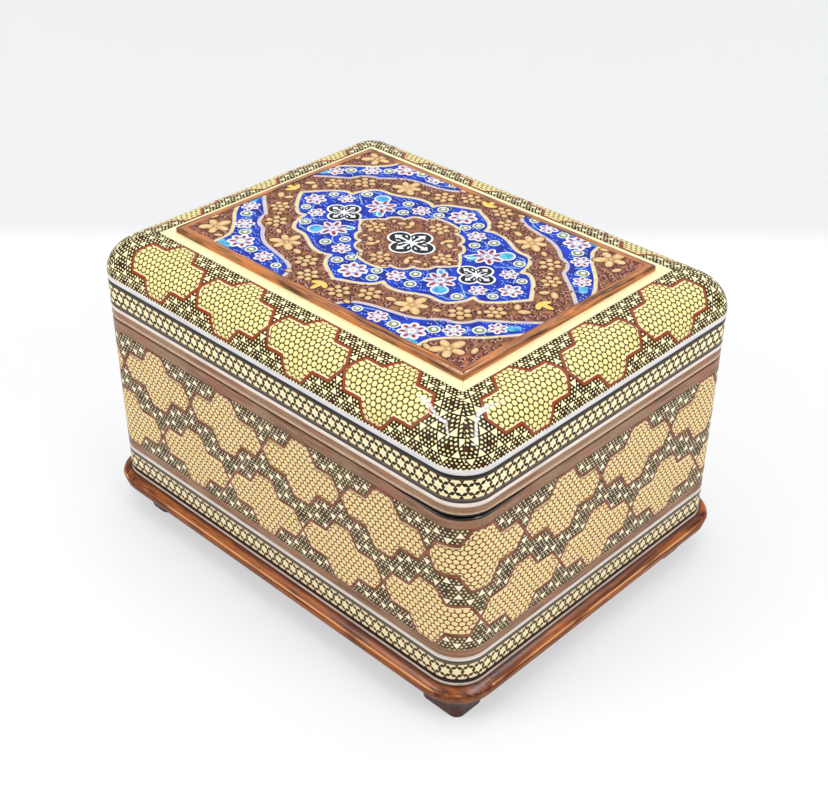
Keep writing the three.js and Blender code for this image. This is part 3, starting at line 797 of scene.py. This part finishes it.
class Coat:
    """One coat of paint: a thin layer of a single colour, at its own height on the board."""

    height = BOARD_TOP + 0.004

    def __init__(self, name, material):
        self.name = name
        self.material = material
        self.fills = []
        self.lines = []
        self.bm = bmesh.new()
        self.count = 0
        self.low = Coat.height
        Coat.height += COAT

    def fill(self, outline):
        """A filled shape, kept in the same way as a closed line."""
        self.fills.append(([on_board(*spot) for spot in outline], 1.0, True))

    def line(self, points, width, closed=False):
        self.lines.append(([on_board(*spot) for spot in points], width, closed))

    def spot(self, x, y, long, wide=None, lean=0.0, sides=12):
        """An oval of paint, long and wide from middle to edge, leaning by an angle."""
        self.count += 1
        lift = COAT / 2 + self.count % 9 * 0.0009
        place = on_board(x, y).to_3d() + Vector((0.0, 0.0, self.low + lift))
        matrix = Matrix.Translation(place) @ Matrix.Rotation(lean, 4, "Z") @ Matrix.Diagonal(
            (long, wide or long, 1.0, 1.0))
        bmesh.ops.create_cone(self.bm, cap_ends=True, segments=sides, radius1=1.0, radius2=0.94,
                              depth=COAT, matrix=matrix)

    def petals(self, x, y, count, reach, long, wide, turn, sides=10):
        """Ovals set round a middle, pointing outwards."""
        for petal in range(count):
            angle = turn + 2 * math.pi * petal / count
            self.spot(*away(x, y, reach, angle), long, wide, angle, sides)

    def trace_curve(self, outlines, flat):
        """Adds the filled shapes, or the lines, through a curve that is then thrown away."""
        data = bpy.data.curves.new(self.name, "CURVE")
        data.dimensions = "2D" if flat else "3D"
        for points, width, closed in outlines:
            spline = data.splines.new("POLY")
            spline.points.add(len(points) - 1)
            spline.use_cyclic_u = closed
            for point, spot in zip(spline.points, points):
                point.co = (spot.x, spot.y, 0.0, 1.0)
                point.radius = width
        if flat:
            data.fill_mode = "BOTH"
            data.extrude = COAT / 2
        else:
            data.bevel_depth = 0.5
            data.bevel_resolution = 0
            data.use_fill_caps = True
        holder = new_object(self.name, data)
        mesh = holder.evaluated_get(bpy.context.evaluated_depsgraph_get()).to_mesh()
        part = bmesh.new()
        part.from_mesh(mesh)
        holder.evaluated_get(bpy.context.evaluated_depsgraph_get()).to_mesh_clear()
        if not flat:
            bmesh.ops.scale(part, vec=(1.0, 1.0, COAT), verts=part.verts)
        bmesh.ops.translate(part, vec=(0.0, 0.0, self.low + COAT / 2), verts=part.verts)
        bmesh.ops.remove_doubles(part, verts=part.verts, dist=0.0005)
        laid = bpy.data.meshes.new(self.name)
        part.to_mesh(laid)
        part.free()
        self.bm.from_mesh(laid)
        bpy.data.meshes.remove(laid)
        bpy.data.objects.remove(holder)
        bpy.data.curves.remove(data)

    def dry(self):
        """Trims the coat to the board and makes it a piece."""
        if self.fills:
            self.trace_curve(self.fills, True)
        if self.lines:
            self.trace_curve(self.lines, False)
        for axis in (0, 1):
            for sign in (1, -1):
                edge = Vector((0.0, 0.0, 0.0))
                edge[axis] = sign * (BOARD_HALF[axis] - 0.02)
                cut = bmesh.ops.bisect_plane(
                    self.bm, geom=self.bm.verts[:] + self.bm.edges[:] + self.bm.faces[:],
                    plane_co=edge, plane_no=edge.normalized(), clear_outer=True)["geom_cut"]
                bmesh.ops.holes_fill(self.bm, edges=ends_of(cut)[1], sides=0)
        bmesh.ops.recalc_face_normals(self.bm, faces=self.bm.faces)
        settle(self.bm, f"paint_{self.name}", self.material, "lid")


PAINTS = {
    "blue": ((4, 32, 148), (8, 62, 200), 0.16),
    "cream": ((244, 226, 150), (232, 206, 136), 0.4),
    "lilac": ((206, 188, 190), (222, 204, 176), 0.3),
    "edging": ((186, 188, 226), (210, 204, 214), 0.3),
    "maroon": ((84, 44, 34), (64, 32, 30), 0.4),
    "plum": ((78, 34, 52), (100, 44, 44), 0.4),
    "blush": ((226, 176, 148), (204, 146, 122), 0.4),
    "yellow": ((246, 212, 112), (236, 196, 96), 0.5),
    "gold": ((220, 180, 124), (204, 158, 104), 0.6),
    "light_gold": ((238, 206, 154), (228, 190, 134), 0.6),
    "white": ((250, 250, 250), (234, 238, 244), 0.6),
    "black": ((14, 14, 18), (30, 30, 34), 0.5),
    "red": ((176, 52, 48), (124, 40, 62), 0.7),
    "rose": ((206, 196, 222), (226, 194, 196), 0.3),
    "cyan": ((34, 150, 204), (92, 196, 216), 0.3),
    "green": ((112, 144, 92), (170, 184, 122), 0.7),
    "sky": ((124, 172, 236), (160, 200, 240), 0.6),
    "specks": ((170, 202, 246), (140, 184, 240), 0.6),
}
# each coat's name and its paint, from the board up
COATS = (
    ("blue_field", "blue"), ("cyan_shading", "cyan"), ("edging", "edging"), ("vines", "sky"),
    ("cream_lines", "cream"), ("lilac_lines", "lilac"), ("brown_heart", "brown"),
    ("heart_edging", "edging"), ("heart_cream", "cream"), ("plum_scrolls", "plum"),
    # the gilt's painted highlights are a coat of their own, over the gold
    ("blush_scrolls", "blush"), ("gold_shadow", "maroon"), ("gold", "gold"), ("gold_painted_highlight", "light_gold"),
    ("yellow_tips", "yellow"), ("white", "white"), ("black", "black"), ("ring_shadows", "maroon"),
    ("green", "green"), ("flower_bodies", "rose"), ("red", "red"), ("sky", "sky"), ("cyan", "cyan"),
    ("deep_blue", "blue"), ("blue_specks", "specks"), ("white_tips", "white"),
    ("flower_hearts", "light_gold"),
)

# a quarter of each outline of the drawing, where a third item marks a corner
MEDALLION = ((62.3, 0.0, 1), (59.5, 3.8), (55.5, 8.8), (51.5, 12.3), (48.5, 13.6), (46.0, 12.8, 1),
             (45.3, 16.6), (43.6, 20.6), (41.2, 23.4), (38.8, 24.2, 1), (34.2, 24.4), (29.8, 26.3),
             (25.0, 28.7), (20.5, 29.8), (17.0, 29.6), (14.2, 28.4, 1), (13.5, 31.0), (11.0, 34.0),
             (7.0, 36.4), (3.0, 38.2), (0.0, 39.8, 1))
HEART = ((26.7, 0.0, 1), (24.3, 3.2), (22.0, 5.8), (20.4, 7.0, 1), (20.0, 9.8), (17.3, 12.4),
         (14.6, 12.6, 1), (13.9, 15.8), (11.0, 18.0), (7.6, 18.2, 1), (7.3, 20.6), (4.2, 22.6), (0.0, 23.1))
BAND_INNER = ((13.0, 54.0), (16.6, 46.8), (23.0, 43.2), (32.0, 41.2), (39.0, 39.5), (44.5, 36.2),
              (49.3, 31.9, 1), (53.3, 30.4), (56.2, 27.6), (57.8, 23.6, 1), (61.5, 21.0), (66.5, 17.5),
              (71.0, 13.6), (79.0, 6.0))
BAND_OUTER = ((79.0, 13.0), (76.0, 19.5), (72.0, 25.6), (67.5, 31.0), (61.5, 36.3), (57.2, 41.0),
              (54.6, 45.6), (54.0, 56.0))


def inside(outline, x, y):
    """Whether a place lies within a closed outline."""
    odd = False
    for first, second in zip(outline, outline[1:] + outline[:1]):
        if (first.y > y) != (second.y > y):
            if x < first.x + (y - first.y) / (second.y - first.y) * (second.x - first.x):
                odd = not odd
    return odd


def painted_ornament():
    """Traditional gilt and painted work: a blue lobed medallion about a brown one, and corner bands."""
    rand = random.Random(11)
    medallion, heart = all_round(MEDALLION), all_round(HEART)
    inner, outer = traced(BAND_INNER), traced(BAND_OUTER)
    bands = [mirrored(inner + outer, sx, sy) for sx, sy in QUARTERS]
    paints = {name: paint(f"paint_{name}", *tones) for name, tones in PAINTS.items()}
    paints["brown"] = stained_ground("paint_brown")
    coats = [Coat(name, paints[colour]) for name, colour in COATS]
    (field, shading, under, vines, over, seams, heart_field, heart_under, heart_over, scrolls, wisps,
     shadow, gilt, shine, pale_gold, pale, night, dark_rings, greens, blooms, reds, blues, cyans,
     dark_blues, specks, tips, hearts) = coats
    # round places already taken, over the blue and over the brown
    busy, gilded = [], []

    # the fields and their border lines
    for outline in (medallion, *bands):
        field.fill(outline)
    heart_field.fill(heart)
    under.line(medallion, 1.75, True)
    over.line(medallion, 1.05, True)
    heart_under.line(heart, 1.4, True)
    heart_over.line(heart, 0.85, True)
    for sx, sy in QUARTERS:
        shading.spot(sx * 50.0, sy * 50.5, 4.2, 2.2)
        shading.spot(sx * 71.0, sy * 19.4, 3.0, 1.9, -0.9 * sx * sy)
        shading.spot(sx * 26.6, sy * 8.4, 2.6, 1.4, 0.9 * sx * sy)
        under.line(mirrored(inner, sx, sy), 1.6)
        under.line(mirrored(outer, sx, sy), 1.6)
        over.line(mirrored(outer, sx, sy), 1.0)
        seams.line(mirrored(inner, sx, sy), 0.95)

    def rosette(x, y, size, turn):
        """Seven gilt dots in a ring, on a dark bed."""
        shadow.spot(x, y, size * 2.95, sides=18)
        gilded.append((x, y, size * 3.1))
        for reach, count in ((0.0, 1), (size * 2.1, 6)):
            for dot in range(count):
                angle = turn + dot * math.pi / 3
                spot = away(x, y, reach, angle)
                gilt.spot(*spot, size * 0.94, size * 0.88, angle, 14)
                # a painted highlight on each dot, set off towards one side
                shine.spot(spot[0] - 0.15, spot[1] + 0.2, size * 0.55, size * 0.48, angle, 10)

    def leaf(x, y, long, wide, lean):
        """A gilt leaf with a painted highlight on its back and a dark rim."""
        shadow.spot(x, y, long + 0.42, wide + 0.42, lean, 14)
        gilt.spot(x, y, long, wide, lean, 14)
        shine.spot(x - 0.12, y + 0.2, long * 0.66, wide * 0.56, lean, 10)
        for share in (-0.6, 0.0, 0.6):
            gilded.append((*away(x, y, share * long, lean), wide + 0.45))

    def leaves(places, sx, sy):
        """Leaves laid out for one quarter, mirrored into another."""
        for x, y, long, wide, lean in places:
            leaf(sx * x, sy * y, long, wide, lean * sx * sy)

    def gilt_flower(x, y, count, long, wide, turn):
        """A large gilt flower of broad petals, with a dark seam between them."""
        for petal in range(count):
            angle = turn + 2 * math.pi * petal / count
            size = 1.0 if petal % 2 else 0.84
            reach = 0.9 + long * size
            leaf(*away(x, y, reach, angle), long * size, wide * size, angle)
            # a painted highlight towards each petal's tip
            shine.spot(*away(x, y, reach * 1.3, angle), long * 0.4, wide * 0.62, angle, 12)
        leaf(x, y, 0.95, 0.95, 0.0)

    def fleur(x, y, lean):
        """A small yellow three-leaved tip."""
        for side, long in ((0.0, 3.6), (1.0, 2.5), (-1.0, 2.5)):
            spot = away(x, y, long * 0.8, lean + side)
            shadow.spot(*spot, long + 0.4, 1.65, lean + side)
            pale_gold.spot(*spot, long, 1.2, lean + side, 14)

    def white_ring(x, y, size):
        """A white ring about a green middle."""
        pale.spot(x, y, size + 0.3, sides=18)
        dark_rings.spot(x + 0.05, y - 0.05, size - 0.28, sides=16)
        greens.spot(x + 0.05, y - 0.05, size - 0.45, sides=16)
        tips.spot(x + 0.1, y, size * 0.40, sides=12)
        dark_blues.spot(x + 0.2, y - 0.1, size * 0.14, sides=8)
        busy.append((x, y, size + 0.6))

    def flower(x, y, count, size, turn):
        """A white-edged flower, with dark-hearted petals and smaller blue ones between them."""
        pale.petals(x, y, count, size * 0.62, size * 0.46, size * 0.35, turn, 14)
        blooms.petals(x, y, count, size * 0.62, size * 0.32, size * 0.22, turn, 12)
        reds.petals(x, y, count, size * 0.64, size * 0.22, size * 0.115, turn)
        blues.petals(x, y, count, size * 0.40, size * 0.15, size * 0.08, turn + math.pi / count, 8)
        pale.spot(x, y, size * 0.26, sides=10)
        hearts.spot(x, y, size * 0.13, sides=8)
        busy.append((x, y, size + 0.7))

    def quatrefoil(x, y, across, up, reach, size, pointed=0):
        """Four black petals, white edged, with a white arrow in each."""
        for angle, far in ((0.0, across), (math.pi / 2, up), (math.pi, across), (-math.pi / 2, up)):
            middle = far - size
            run, rise = math.cos(angle), math.sin(angle)
            px, py = x + middle * run, y + middle * rise
            pale.spot(px, py, size + 0.42, size + 0.42, angle, 24)
            night.spot(px, py, size - 0.42, size - 0.42, angle, 24)
            if pointed and run * pointed > 0.5:
                pale.fill([Vector((x + pointed * along, y + side)) for along, side in
                           ((middle, size + 0.1), (far + size * 0.45, 0.0), (middle, -size - 0.1))])
                night.fill([Vector((x + pointed * along, y + side)) for along, side in
                            ((middle, size * 0.66), (far + size * 0.12, 0.0), (middle, -size * 0.66))])
            tips.spot(x + middle * 0.55 * run, y + middle * 0.55 * rise, middle * 0.60, 0.40, angle)
            tips.fill([Vector((px + a * size * run - b * size * rise, py + a * size * rise + b * size * run))
                       for a, b in ((0.62, 0.0), (0.10, 0.42), (0.06, 0.16), (-0.46, 0.12),
                                    (-0.46, -0.12), (0.06, -0.16), (0.10, -0.42))])
            for side in (0.5, -0.5):
                tips.spot(px - size * (0.30 * run + side * rise), py - size * (0.30 * rise - side * run),
                          size * 0.24, size * 0.09, angle + side, 8)
        for lean in (math.pi / 4, -math.pi / 4):
            tips.spot(x, y, reach, 0.42, lean)
        busy.append((x, y, across + 1.2))
        gilded.append((x, y, across + 0.6))

    # the brown middle
    quatrefoil(0.7, 0.0, 10.7, 9.6, 4.6, 4.6)
    for side in (1, -1):
        quatrefoil(side * 36.0, -0.6, 8.1, 7.6, 3.4, 3.5, -side)
        rosette(side * 18.2, -0.3, 1.4, 0.5)
        rosette(0.6, side * 16.4, 1.45, 0.3)
    inner_leaves = ((9.8, 11.6, 2.3, 1.2, 0.9), (12.8, 9.0, 2.0, 1.1, -0.5), (9.0, 8.6, 1.5, 0.9, 2.1),
                    (6.2, 20.2, 1.3, 0.8, -0.6), (16.6, 8.4, 1.2, 0.8, 0.9), (23.0, 1.7, 1.1, 0.7, 0.6))
    for sx, sy in QUARTERS:
        leaves(inner_leaves, sx, sy)

    # the blue medallion
    for sx, sy in QUARTERS:
        for x, y, size in ((9.5, 29.5, 2.1), (7.0, 24.6, 2.0), (23.3, 22.8, 2.1), (19.4, 16.2, 2.0),
                           (41.3, 17.2, 2.1), (50.8, 7.8, 1.8)):
            white_ring(sx * x, sy * y, size)
        flower(sx * 15.0, sy * 22.3, 6, 3.8, 0.4)
        flower(sx * 44.0, sy * 8.4, 6, 3.4, 0.9)
        x, y = sx * 29.2, sy * 13.2
        pale.petals(x, y, 7, 3.6, 2.9, 1.65, 0.2, 14)
        blooms.petals(x, y, 7, 3.7, 2.3, 1.1, 0.2, 12)
        reds.petals(x, y, 7, 3.9, 1.7, 0.66, 0.2, 12)
        blues.petals(x, y, 7, 2.4, 1.0, 0.3, 0.65, 8)
        pale.spot(x, y, 1.6)
        dark_blues.spot(x, y, 0.9)
        hearts.spot(x, y, 0.5)
        pale.spot(sx * 33.8, sy * 18.4, 3.5, sides=20)
        blues.spot(sx * 33.85, sy * 18.35, 2.9, sides=20)
        cyans.spot(sx * 33.9, sy * 18.2, 2.2, sides=18)
        pale.spot(sx * 25.0, sy * 8.6, 2.5, 1.6, 0.7 * sx * sy)
        cyans.spot(sx * 25.0, sy * 8.6, 1.8, 0.9, 0.7 * sx * sy)
        busy.append((x, y, 7.0))
        busy.append((sx * 33.8, sy * 18.4, 4.0))
    for side in (1, -1):
        flower(0.4, side * 30.4, 7, 5.4, 0.5)
        flower(side * 53.0, -0.4, 6, 4.4, 0.5)
        fleur(0.0, side * 44.3, side * math.pi / 2)
        fleur(side * 66.2, 0.0, 0.0 if side > 0 else math.pi)

    # the corner bands, and gilt work on the brown ground
    for sx, sy in QUARTERS:
        for x, y, count, size, turn in ((46.5, 45.3, 7, 5.2, 0.3), (31.0, 47.2, 6, 3.8, 0.2),
                                        (56.8, 34.8, 6, 3.9, 0.8), (67.2, 23.6, 6, 3.6, 0.1)):
            flower(sx * x, sy * y, count, size, turn)
        for x, y, size in ((38.7, 46.8, 2.2), (22.2, 48.4, 1.8), (51.4, 39.2, 2.2), (63.2, 28.8, 2.2)):
            white_ring(sx * x, sy * y, size)
    outer_leaves = ((66.4, 8.2, 2.5, 1.4, -0.7), (62.4, 7.2, 2.1, 1.3, 0.9), (43.0, 29.6, 1.9, 1.1, -0.5),
                    (25.4, 35.4, 2.2, 1.4, -0.3), (70.6, 39.4, 2.2, 1.2, 1.2), (57.0, 48.6, 2.0, 1.1, 0.4),
                    (15.8, 47.6, 1.6, 1.1, 0.2), (54.6, 19.4, 1.3, 0.9, 0.9))
    for sx, sy in QUARTERS:
        for x, y, size, turn in ((8.4, 44.6, 1.45, 0.4), (17.2, 38.0, 1.5, 0.1), (50.0, 24.8, 1.5, 0.3),
                                 (58.8, 15.4, 1.4, 0.6)):
            rosette(sx * x, sy * y, size, turn)
        gilt_flower(sx * 34.2, sy * 33.2, 6, 3.1, 1.8, 0.5)
        gilt_flower(sx * 63.6, sy * 44.4, 5, 3.1, 2.0, 0.2)
        leaves(outer_leaves, sx, sy)

    # fine vines over the blue
    for sx, sy in QUARTERS:
        for loop in (((22.0, 12.0), (24.5, 17.5), (20.0, 21.0), (15.0, 19.0)),
                     ((14.0, 24.5), (9.0, 22.0), (4.0, 25.5), (3.0, 29.0)),
                     ((36.5, 9.5), (41.0, 12.5), (46.0, 10.0), (49.5, 4.5)),
                     ((37.0, 21.0), (41.0, 20.5), (43.5, 15.5), (40.0, 12.5)),
                     ((19.0, 50.5), (24.0, 45.8), (30.0, 43.8), (35.5, 45.0), (41.5, 49.0), (46.0, 44.0)),
                     ((48.5, 41.5), (52.0, 35.8), (57.5, 38.6), (60.5, 33.0), (58.5, 29.5)),
                     ((60.5, 31.5), (61.5, 26.0), (66.5, 27.5), (69.5, 20.0), (73.0, 17.0))):
            vines.line(mirrored(traced(loop), sx, sy), 0.5)

    def ground(x, y):
        """Whether a place is on the blue, and how far it is from the nearest border line."""
        near = min((spot - Vector((x, y))).length for spot in medallion + heart)
        close = min((spot - Vector((abs(x), abs(y)))).length for spot in inner + outer)
        blue_ground = inside(medallion, x, y) or any(inside(band, x, y) for band in bands)
        return blue_ground and not inside(heart, x, y), min(near, close)

    def clear(x, y, room, taken):
        return all(math.hypot(x - a, y - b) > far + room for a, b, far in taken)

    # pairs of dots over the blue, and loose gilt dots among curls over the brown
    drawn = []
    for _ in range(5200):
        x, y = rand.uniform(-76, 76), rand.uniform(-54, 54)
        lean = rand.uniform(-0.5, 0.5)
        size = rand.uniform(0.8, 1.4)
        on_blue, border = ground(x, y)
        if on_blue:
            if border > 1.5 and clear(x, y, 0.0, busy):
                busy.append((x, y, 1.75))
                for side in (-0.6, 0.6):
                    specks.spot(*away(x, y, side, lean), 0.33, sides=8)
        elif border > size + 1.1 and clear(x, y, size * 1.1, gilded) and len(gilded) % 5:
            leaf(x, y, size * rand.uniform(1.0, 1.3), size, lean * 4)
        elif border > 1.5 and clear(x, y, 0.1, gilded) and clear(x, y, 0.0, drawn):
            drawn.append((x, y, 1.9))
            hand = rand.choice((-1, 1))
            reach = rand.uniform(1.0, 1.5)
            turn = rand.uniform(0.0, 6.28)
            curl = [away(x, y, reach * (1.0 - step / 15), turn + hand * step * 0.52) for step in range(12)]
            scrolls.line(curl, 0.9)
            wisps.line([(a + 0.3, b + 0.3) for a, b in curl[1:9]], 0.36)
    for coat in coats:
        coat.dry()


# The hinges, and the linings

HINGE_MIDDLE = 52.0
SCREW_STEP = 9.6
SCREW_LINE = (72.9, 73.8)


def hinges():
    """Brass butt hinges, with three countersunk screws in each leaf."""
    metal = brass("hinge_brass", (214, 172, 92), (168, 124, 62))
    screws = brass("screw_brass", (206, 166, 92), (150, 112, 58), SHUT)
    for hand, centre in (("left", -HINGE_MIDDLE), ("right", HINGE_MIDDLE)):
        refine(f"hinge_pin_{hand}", f"hinge_{hand}_pin", metal, "case", bevel=0.15)
        for body, face, way in (("case", SHUT - 0.1, 1), ("lid", SHUT + 0.1, -1)):
            refine(f"hinge_leaf_{body}_{hand}", f"hinge_{hand}_{body}_leaf", metal, body, bevel=0.06)
            for place, along in enumerate((-SCREW_STEP, 0.0, SCREW_STEP)):
                screw(f"hinge_{hand}_{body}_screw_{place}", screws, body,
                      (centre + along, SCREW_LINE[place % 2], face), way, 0.5 + place * 1.1)


def screw(name, material, body, spot, way, turn):
    """A slotted screw head, let in almost flush."""
    bm = bmesh.new()
    bmesh.ops.create_circle(bm, cap_ends=True, segments=24, radius=1.8)
    for side in (0.18, -0.18):
        bmesh.ops.bisect_plane(bm, geom=bm.verts[:] + bm.edges[:] + bm.faces[:],
                               plane_co=(0.0, side, 0.0), plane_no=(0.0, 1.0, 0.0))
    raised = [face for face in bm.faces if abs(face.calc_center_median().y) > 0.2]
    bmesh.ops.inset_region(bm, faces=raised, thickness=0.18, use_boundary=True)
    made = bmesh.ops.extrude_face_region(bm, geom=raised)["geom"]
    bmesh.ops.translate(bm, vec=(0.0, 0.0, 0.05), verts=ends_of(made)[0])
    bmesh.ops.delete(bm, geom=raised, context="FACES_ONLY")
    bmesh.ops.recalc_face_normals(bm, faces=bm.faces)
    flip = Matrix.Rotation(math.pi if way < 0 else 0.0, 4, "X")
    place = Matrix.Translation(Vector(spot) + Vector((0.0, 0.0, way * 0.012)))
    bmesh.ops.transform(bm, matrix=place @ flip @ Matrix.Rotation(turn, 4, "Z"), verts=bm.verts)
    settle(bm, name, material, body)


PAD_CUTS = 46


def pad(node, name, material, body, axis, way, swell):
    """A padded velvet panel in the space of its solid: flat at the back, swelling to the front."""
    low, high = (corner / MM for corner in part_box(node))
    bm = bmesh.new()
    bmesh.ops.create_cube(bm, size=1.0)
    long_edges = [edge for edge in bm.edges
                  if abs((edge.verts[0].co - edge.verts[1].co)[axis]) < 0.5]
    bmesh.ops.subdivide_edges(bm, edges=long_edges, cuts=PAD_CUTS, use_grid_fill=True)
    middle, size = (low + high) / 2, high - low
    across = [k for k in range(3) if k != axis]
    edge = swell * 2.4
    for vert in bm.verts:
        front = vert.co[axis] * way > 0
        vert.co = Vector([middle[k] + vert.co[k] * size[k] for k in range(3)])
        if not front:
            continue
        inset = min(size[k] / 2 - abs(vert.co[k] - middle[k]) for k in across)
        round_over = 1 - (1 - min(inset / edge, 1.0)) ** 2
        far = math.prod(1 - (2 * (vert.co[k] - middle[k]) / size[k]) ** 4 for k in across)
        soft = noise.noise(vert.co * 0.045) * 0.5 + noise.noise(vert.co * 0.12) * 0.25
        drop = swell * (1 - 0.62 * round_over - 0.30 * far) + max(soft, 0.0) * swell * 0.16 * far
        vert.co[axis] -= way * drop
    bmesh.ops.recalc_face_normals(bm, faces=bm.faces)
    piece = settle(bm, name, material, body, [node], smooth=60.0)


def linings():
    """Velvet pads: a soft floor, thin panels round the walls and one under the lid."""
    pile = velvet("velvet")
    pad("lining_floor_pad", "velvet_floor_pad", pile, "case", 2, 1, 1.8)
    pad("lining_lid_pad", "velvet_lid_pad", pile, "lid", 2, -1, 1.8)
    for name, axis, way in (("front", 1, 1), ("back", 1, -1), ("right", 0, -1), ("left", 0, 1)):
        pad(f"lining_wall_{name}", f"velvet_wall_{name}", pile, "case", axis, way, 0.7)


# The frame's own solids that stay in sight

def dress_frame():
    """Gives the boards and the painted board's ground their finishes."""
    light, dark = (150, 112, 76), (116, 80, 52)
    boards = [plain_wood(f"carcass_board_{way}", way, light, dark) for way in (0, 1)]
    ground = stained_ground("panel_ground")
    for name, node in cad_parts.items():
        for place in node.material_slots:
            sideways = name.endswith(("_left", "_right"))
            place.material = ground if name == "painted_panel" else boards[sideways]


# The room: floor, backdrop, lamps and camera

def stage_white():
    """Nearly white to the eye, with painted shade making it greyer towards the back, with its shadows, and
    clear from behind.
    """
    finish = Finish("stage_white")
    tree = finish.tree
    tree.nodes.remove(finish.shader)

    def blend(share, first, second):
        node = tree.nodes.new("ShaderNodeMixShader")
        for place, item in enumerate((share, first.outputs[0], second.outputs[0])):
            feed(tree, item, node.inputs[place])
        return node

    # how far into the scene, away from the camera
    x, y, _ = finish.spread()
    back = (x * -0.6953 + y * 0.7187).ramp(244.0, 280.0)
    # greyer where the floor sweeps up into the backdrop: painted shade
    shade = finish.mix(back, (250, 251, 253), (238, 239, 240))
    ray = tree.nodes.new("ShaderNodeLightPath")
    seen = Value(tree, ray.outputs["Is Camera Ray"]).most(Value(tree, ray.outputs["Is Glossy Ray"]))
    seen = seen.most(Value(tree, ray.outputs["Is Transmission Ray"])) * (back * 0.26 + 0.46)
    lit = finish.add("ShaderNodeBsdfDiffuse", Color=shade)
    glow = finish.add("ShaderNodeEmission", Color=shade)
    behind = tree.nodes.new("ShaderNodeNewGeometry").outputs["Backfacing"]
    whole = blend(behind, blend(seen, lit, glow), tree.nodes.new("ShaderNodeBsdfTransparent"))
    tree.links.new(whole.outputs[0], tree.nodes["Material Output"].inputs["Surface"])
    return finish.material


def stage():
    """A pale floor that sweeps up into an upright backdrop behind the box."""
    bm = bmesh.new()
    ends = [bm.verts.new((side, -6.0, 0.0)) for side in (-3.0, 3.0)]
    edges = [bm.edges.new(ends)]
    # along the floor, round the sweep and up the backdrop, in metres
    for push in ((0.0, 6.3, 0.0), None, (0.0, 0.0, 5.0)):
        if push:
            ends, edges = ends_of(bmesh.ops.extrude_edge_only(bm, edges=edges)["geom"])
            bmesh.ops.translate(bm, vec=push, verts=ends)
            edges = [edge for edge in edges if all(vert in ends for vert in edge.verts)]
        else:
            ends, edges = ends_of(bmesh.ops.spin(bm, geom=ends + edges, cent=(0.0, 0.3, 0.09),
                                                 axis=(1.0, 0.0, 0.0), angle=math.pi / 2,
                                                 steps=16)["geom_last"])
    bmesh.ops.transform(bm, matrix=Matrix.Rotation(math.radians(44.05), 4, "Z"), verts=bm.verts)
    bmesh.ops.recalc_face_normals(bm, faces=bm.faces)
    if max(bm.faces, key=lambda face: face.calc_area()).normal.z < 0:
        bmesh.ops.reverse_faces(bm, faces=bm.faces)
    mesh = bpy.data.meshes.new("floor_and_backdrop")
    bm.to_mesh(mesh)
    bm.free()
    mesh.polygons.foreach_set("use_smooth", [True] * len(mesh.polygons))
    mesh.materials.append(stage_white())
    new_object("floor_and_backdrop", mesh)


def area_lamp(name, size, power):
    """A rectangular lamp, to be placed."""
    data = bpy.data.lights.new(name, "AREA")
    data.shape = "RECTANGLE"
    data.size, data.size_y = size
    data.energy = power
    return new_object(name, data)


def lamp(name, spot, aim, size, power):
    """A soft lamp at a spot, turned to its aim."""
    item = area_lamp(name, size, power)
    item.location = spot
    item.rotation_mode = "QUATERNION"
    item.rotation_quaternion = (Vector(aim) - Vector(spot)).to_track_quat("-Z", "Y")


def strip_lamp(name, first, last, width, power):
    """A long thin lamp between two places, turned to the box, which only leaves a streak on lacquer."""
    first, last = Vector(first), Vector(last)
    middle = (first + last) / 2
    dome_corner = Vector((0.08, -0.07, 0.125))
    back = (middle - dome_corner).normalized()
    across = (last - first).cross(back).normalized()
    turn = Matrix((across, back.cross(across), back)).transposed().to_4x4()
    item = area_lamp(name, (width, (last - first).length), power)
    item.matrix_world = Matrix.Translation(middle) @ turn
    item.visible_diffuse = False


def lights():
    """Even white light from the room, with soft lamps above and at the sides. Places are in metres."""
    world = bpy.data.worlds.new("room")
    world.use_nodes = True
    room = world.node_tree.nodes["Background"]
    room.inputs["Color"].default_value = (1.0, 1.0, 1.0, 1.0)
    room.inputs["Strength"].default_value = 0.46
    bpy.context.scene.world = world
    lamp("overhead", (0.1, -0.1, 1.3), (0.0, 0.0, 0.05), (1.2, 0.9), 4.8)
    lamp("left_window", (-0.5, -1.1, 0.8), (0.0, 0.0, 0.05), (0.7, 0.7), 6.3)
    lamp("right_window", (1.2, 0.15, 0.75), (0.05, 0.03, 0.05), (0.7, 0.7), 6.6)
    left_bend = (-0.528, -0.352, 0.994)
    right_bends = (0.165, 0.626, 0.982), (0.45, 0.29, 1.103)
    strip_lamp("left_gleam", (-0.559, -0.037, 1.027), left_bend, 0.016, 1.6)
    strip_lamp("left_low_gleam", left_bend, (-0.107, -0.788, 0.935), 0.11, 22.0)
    strip_lamp("right_high_gleam", (0.085, 0.636, 0.981), right_bends[0], 0.03, 0.8)
    strip_lamp("right_gleam", *right_bends, 0.13, 19.5)
    strip_lamp("right_low_gleam", right_bends[1], (0.979, -0.193, 0.764), 0.15, 40.0)


def camera():
    """The photograph's own point of view, in metres."""
    data = bpy.data.cameras.new("camera")
    data.lens = 61.908
    data.sensor_width = 36.0
    data.clip_start = 0.01
    eye = (0.3382, -0.3473, 0.3842)
    right = Vector((0.71691, 0.69718, 0.00384))
    up = Vector((-0.39052, 0.39700, 0.83063))
    back = Vector((0.57755, -0.59696, 0.55686))
    item = new_object("camera", data)
    turn = Matrix((right, up, back)).transposed().to_4x4()
    item.matrix_world = Matrix.Translation(eye) @ turn
    bpy.context.scene.camera = item


dress_frame()
case_sheets()
case_bands()
plinth_and_feet()
lid_bands()
dome_sheets()
panel_frame()
painted_ornament()
hinges()
linings()
stage()
lights()
camera()
bpy.context.scene.view_settings.view_transform = "Standard"
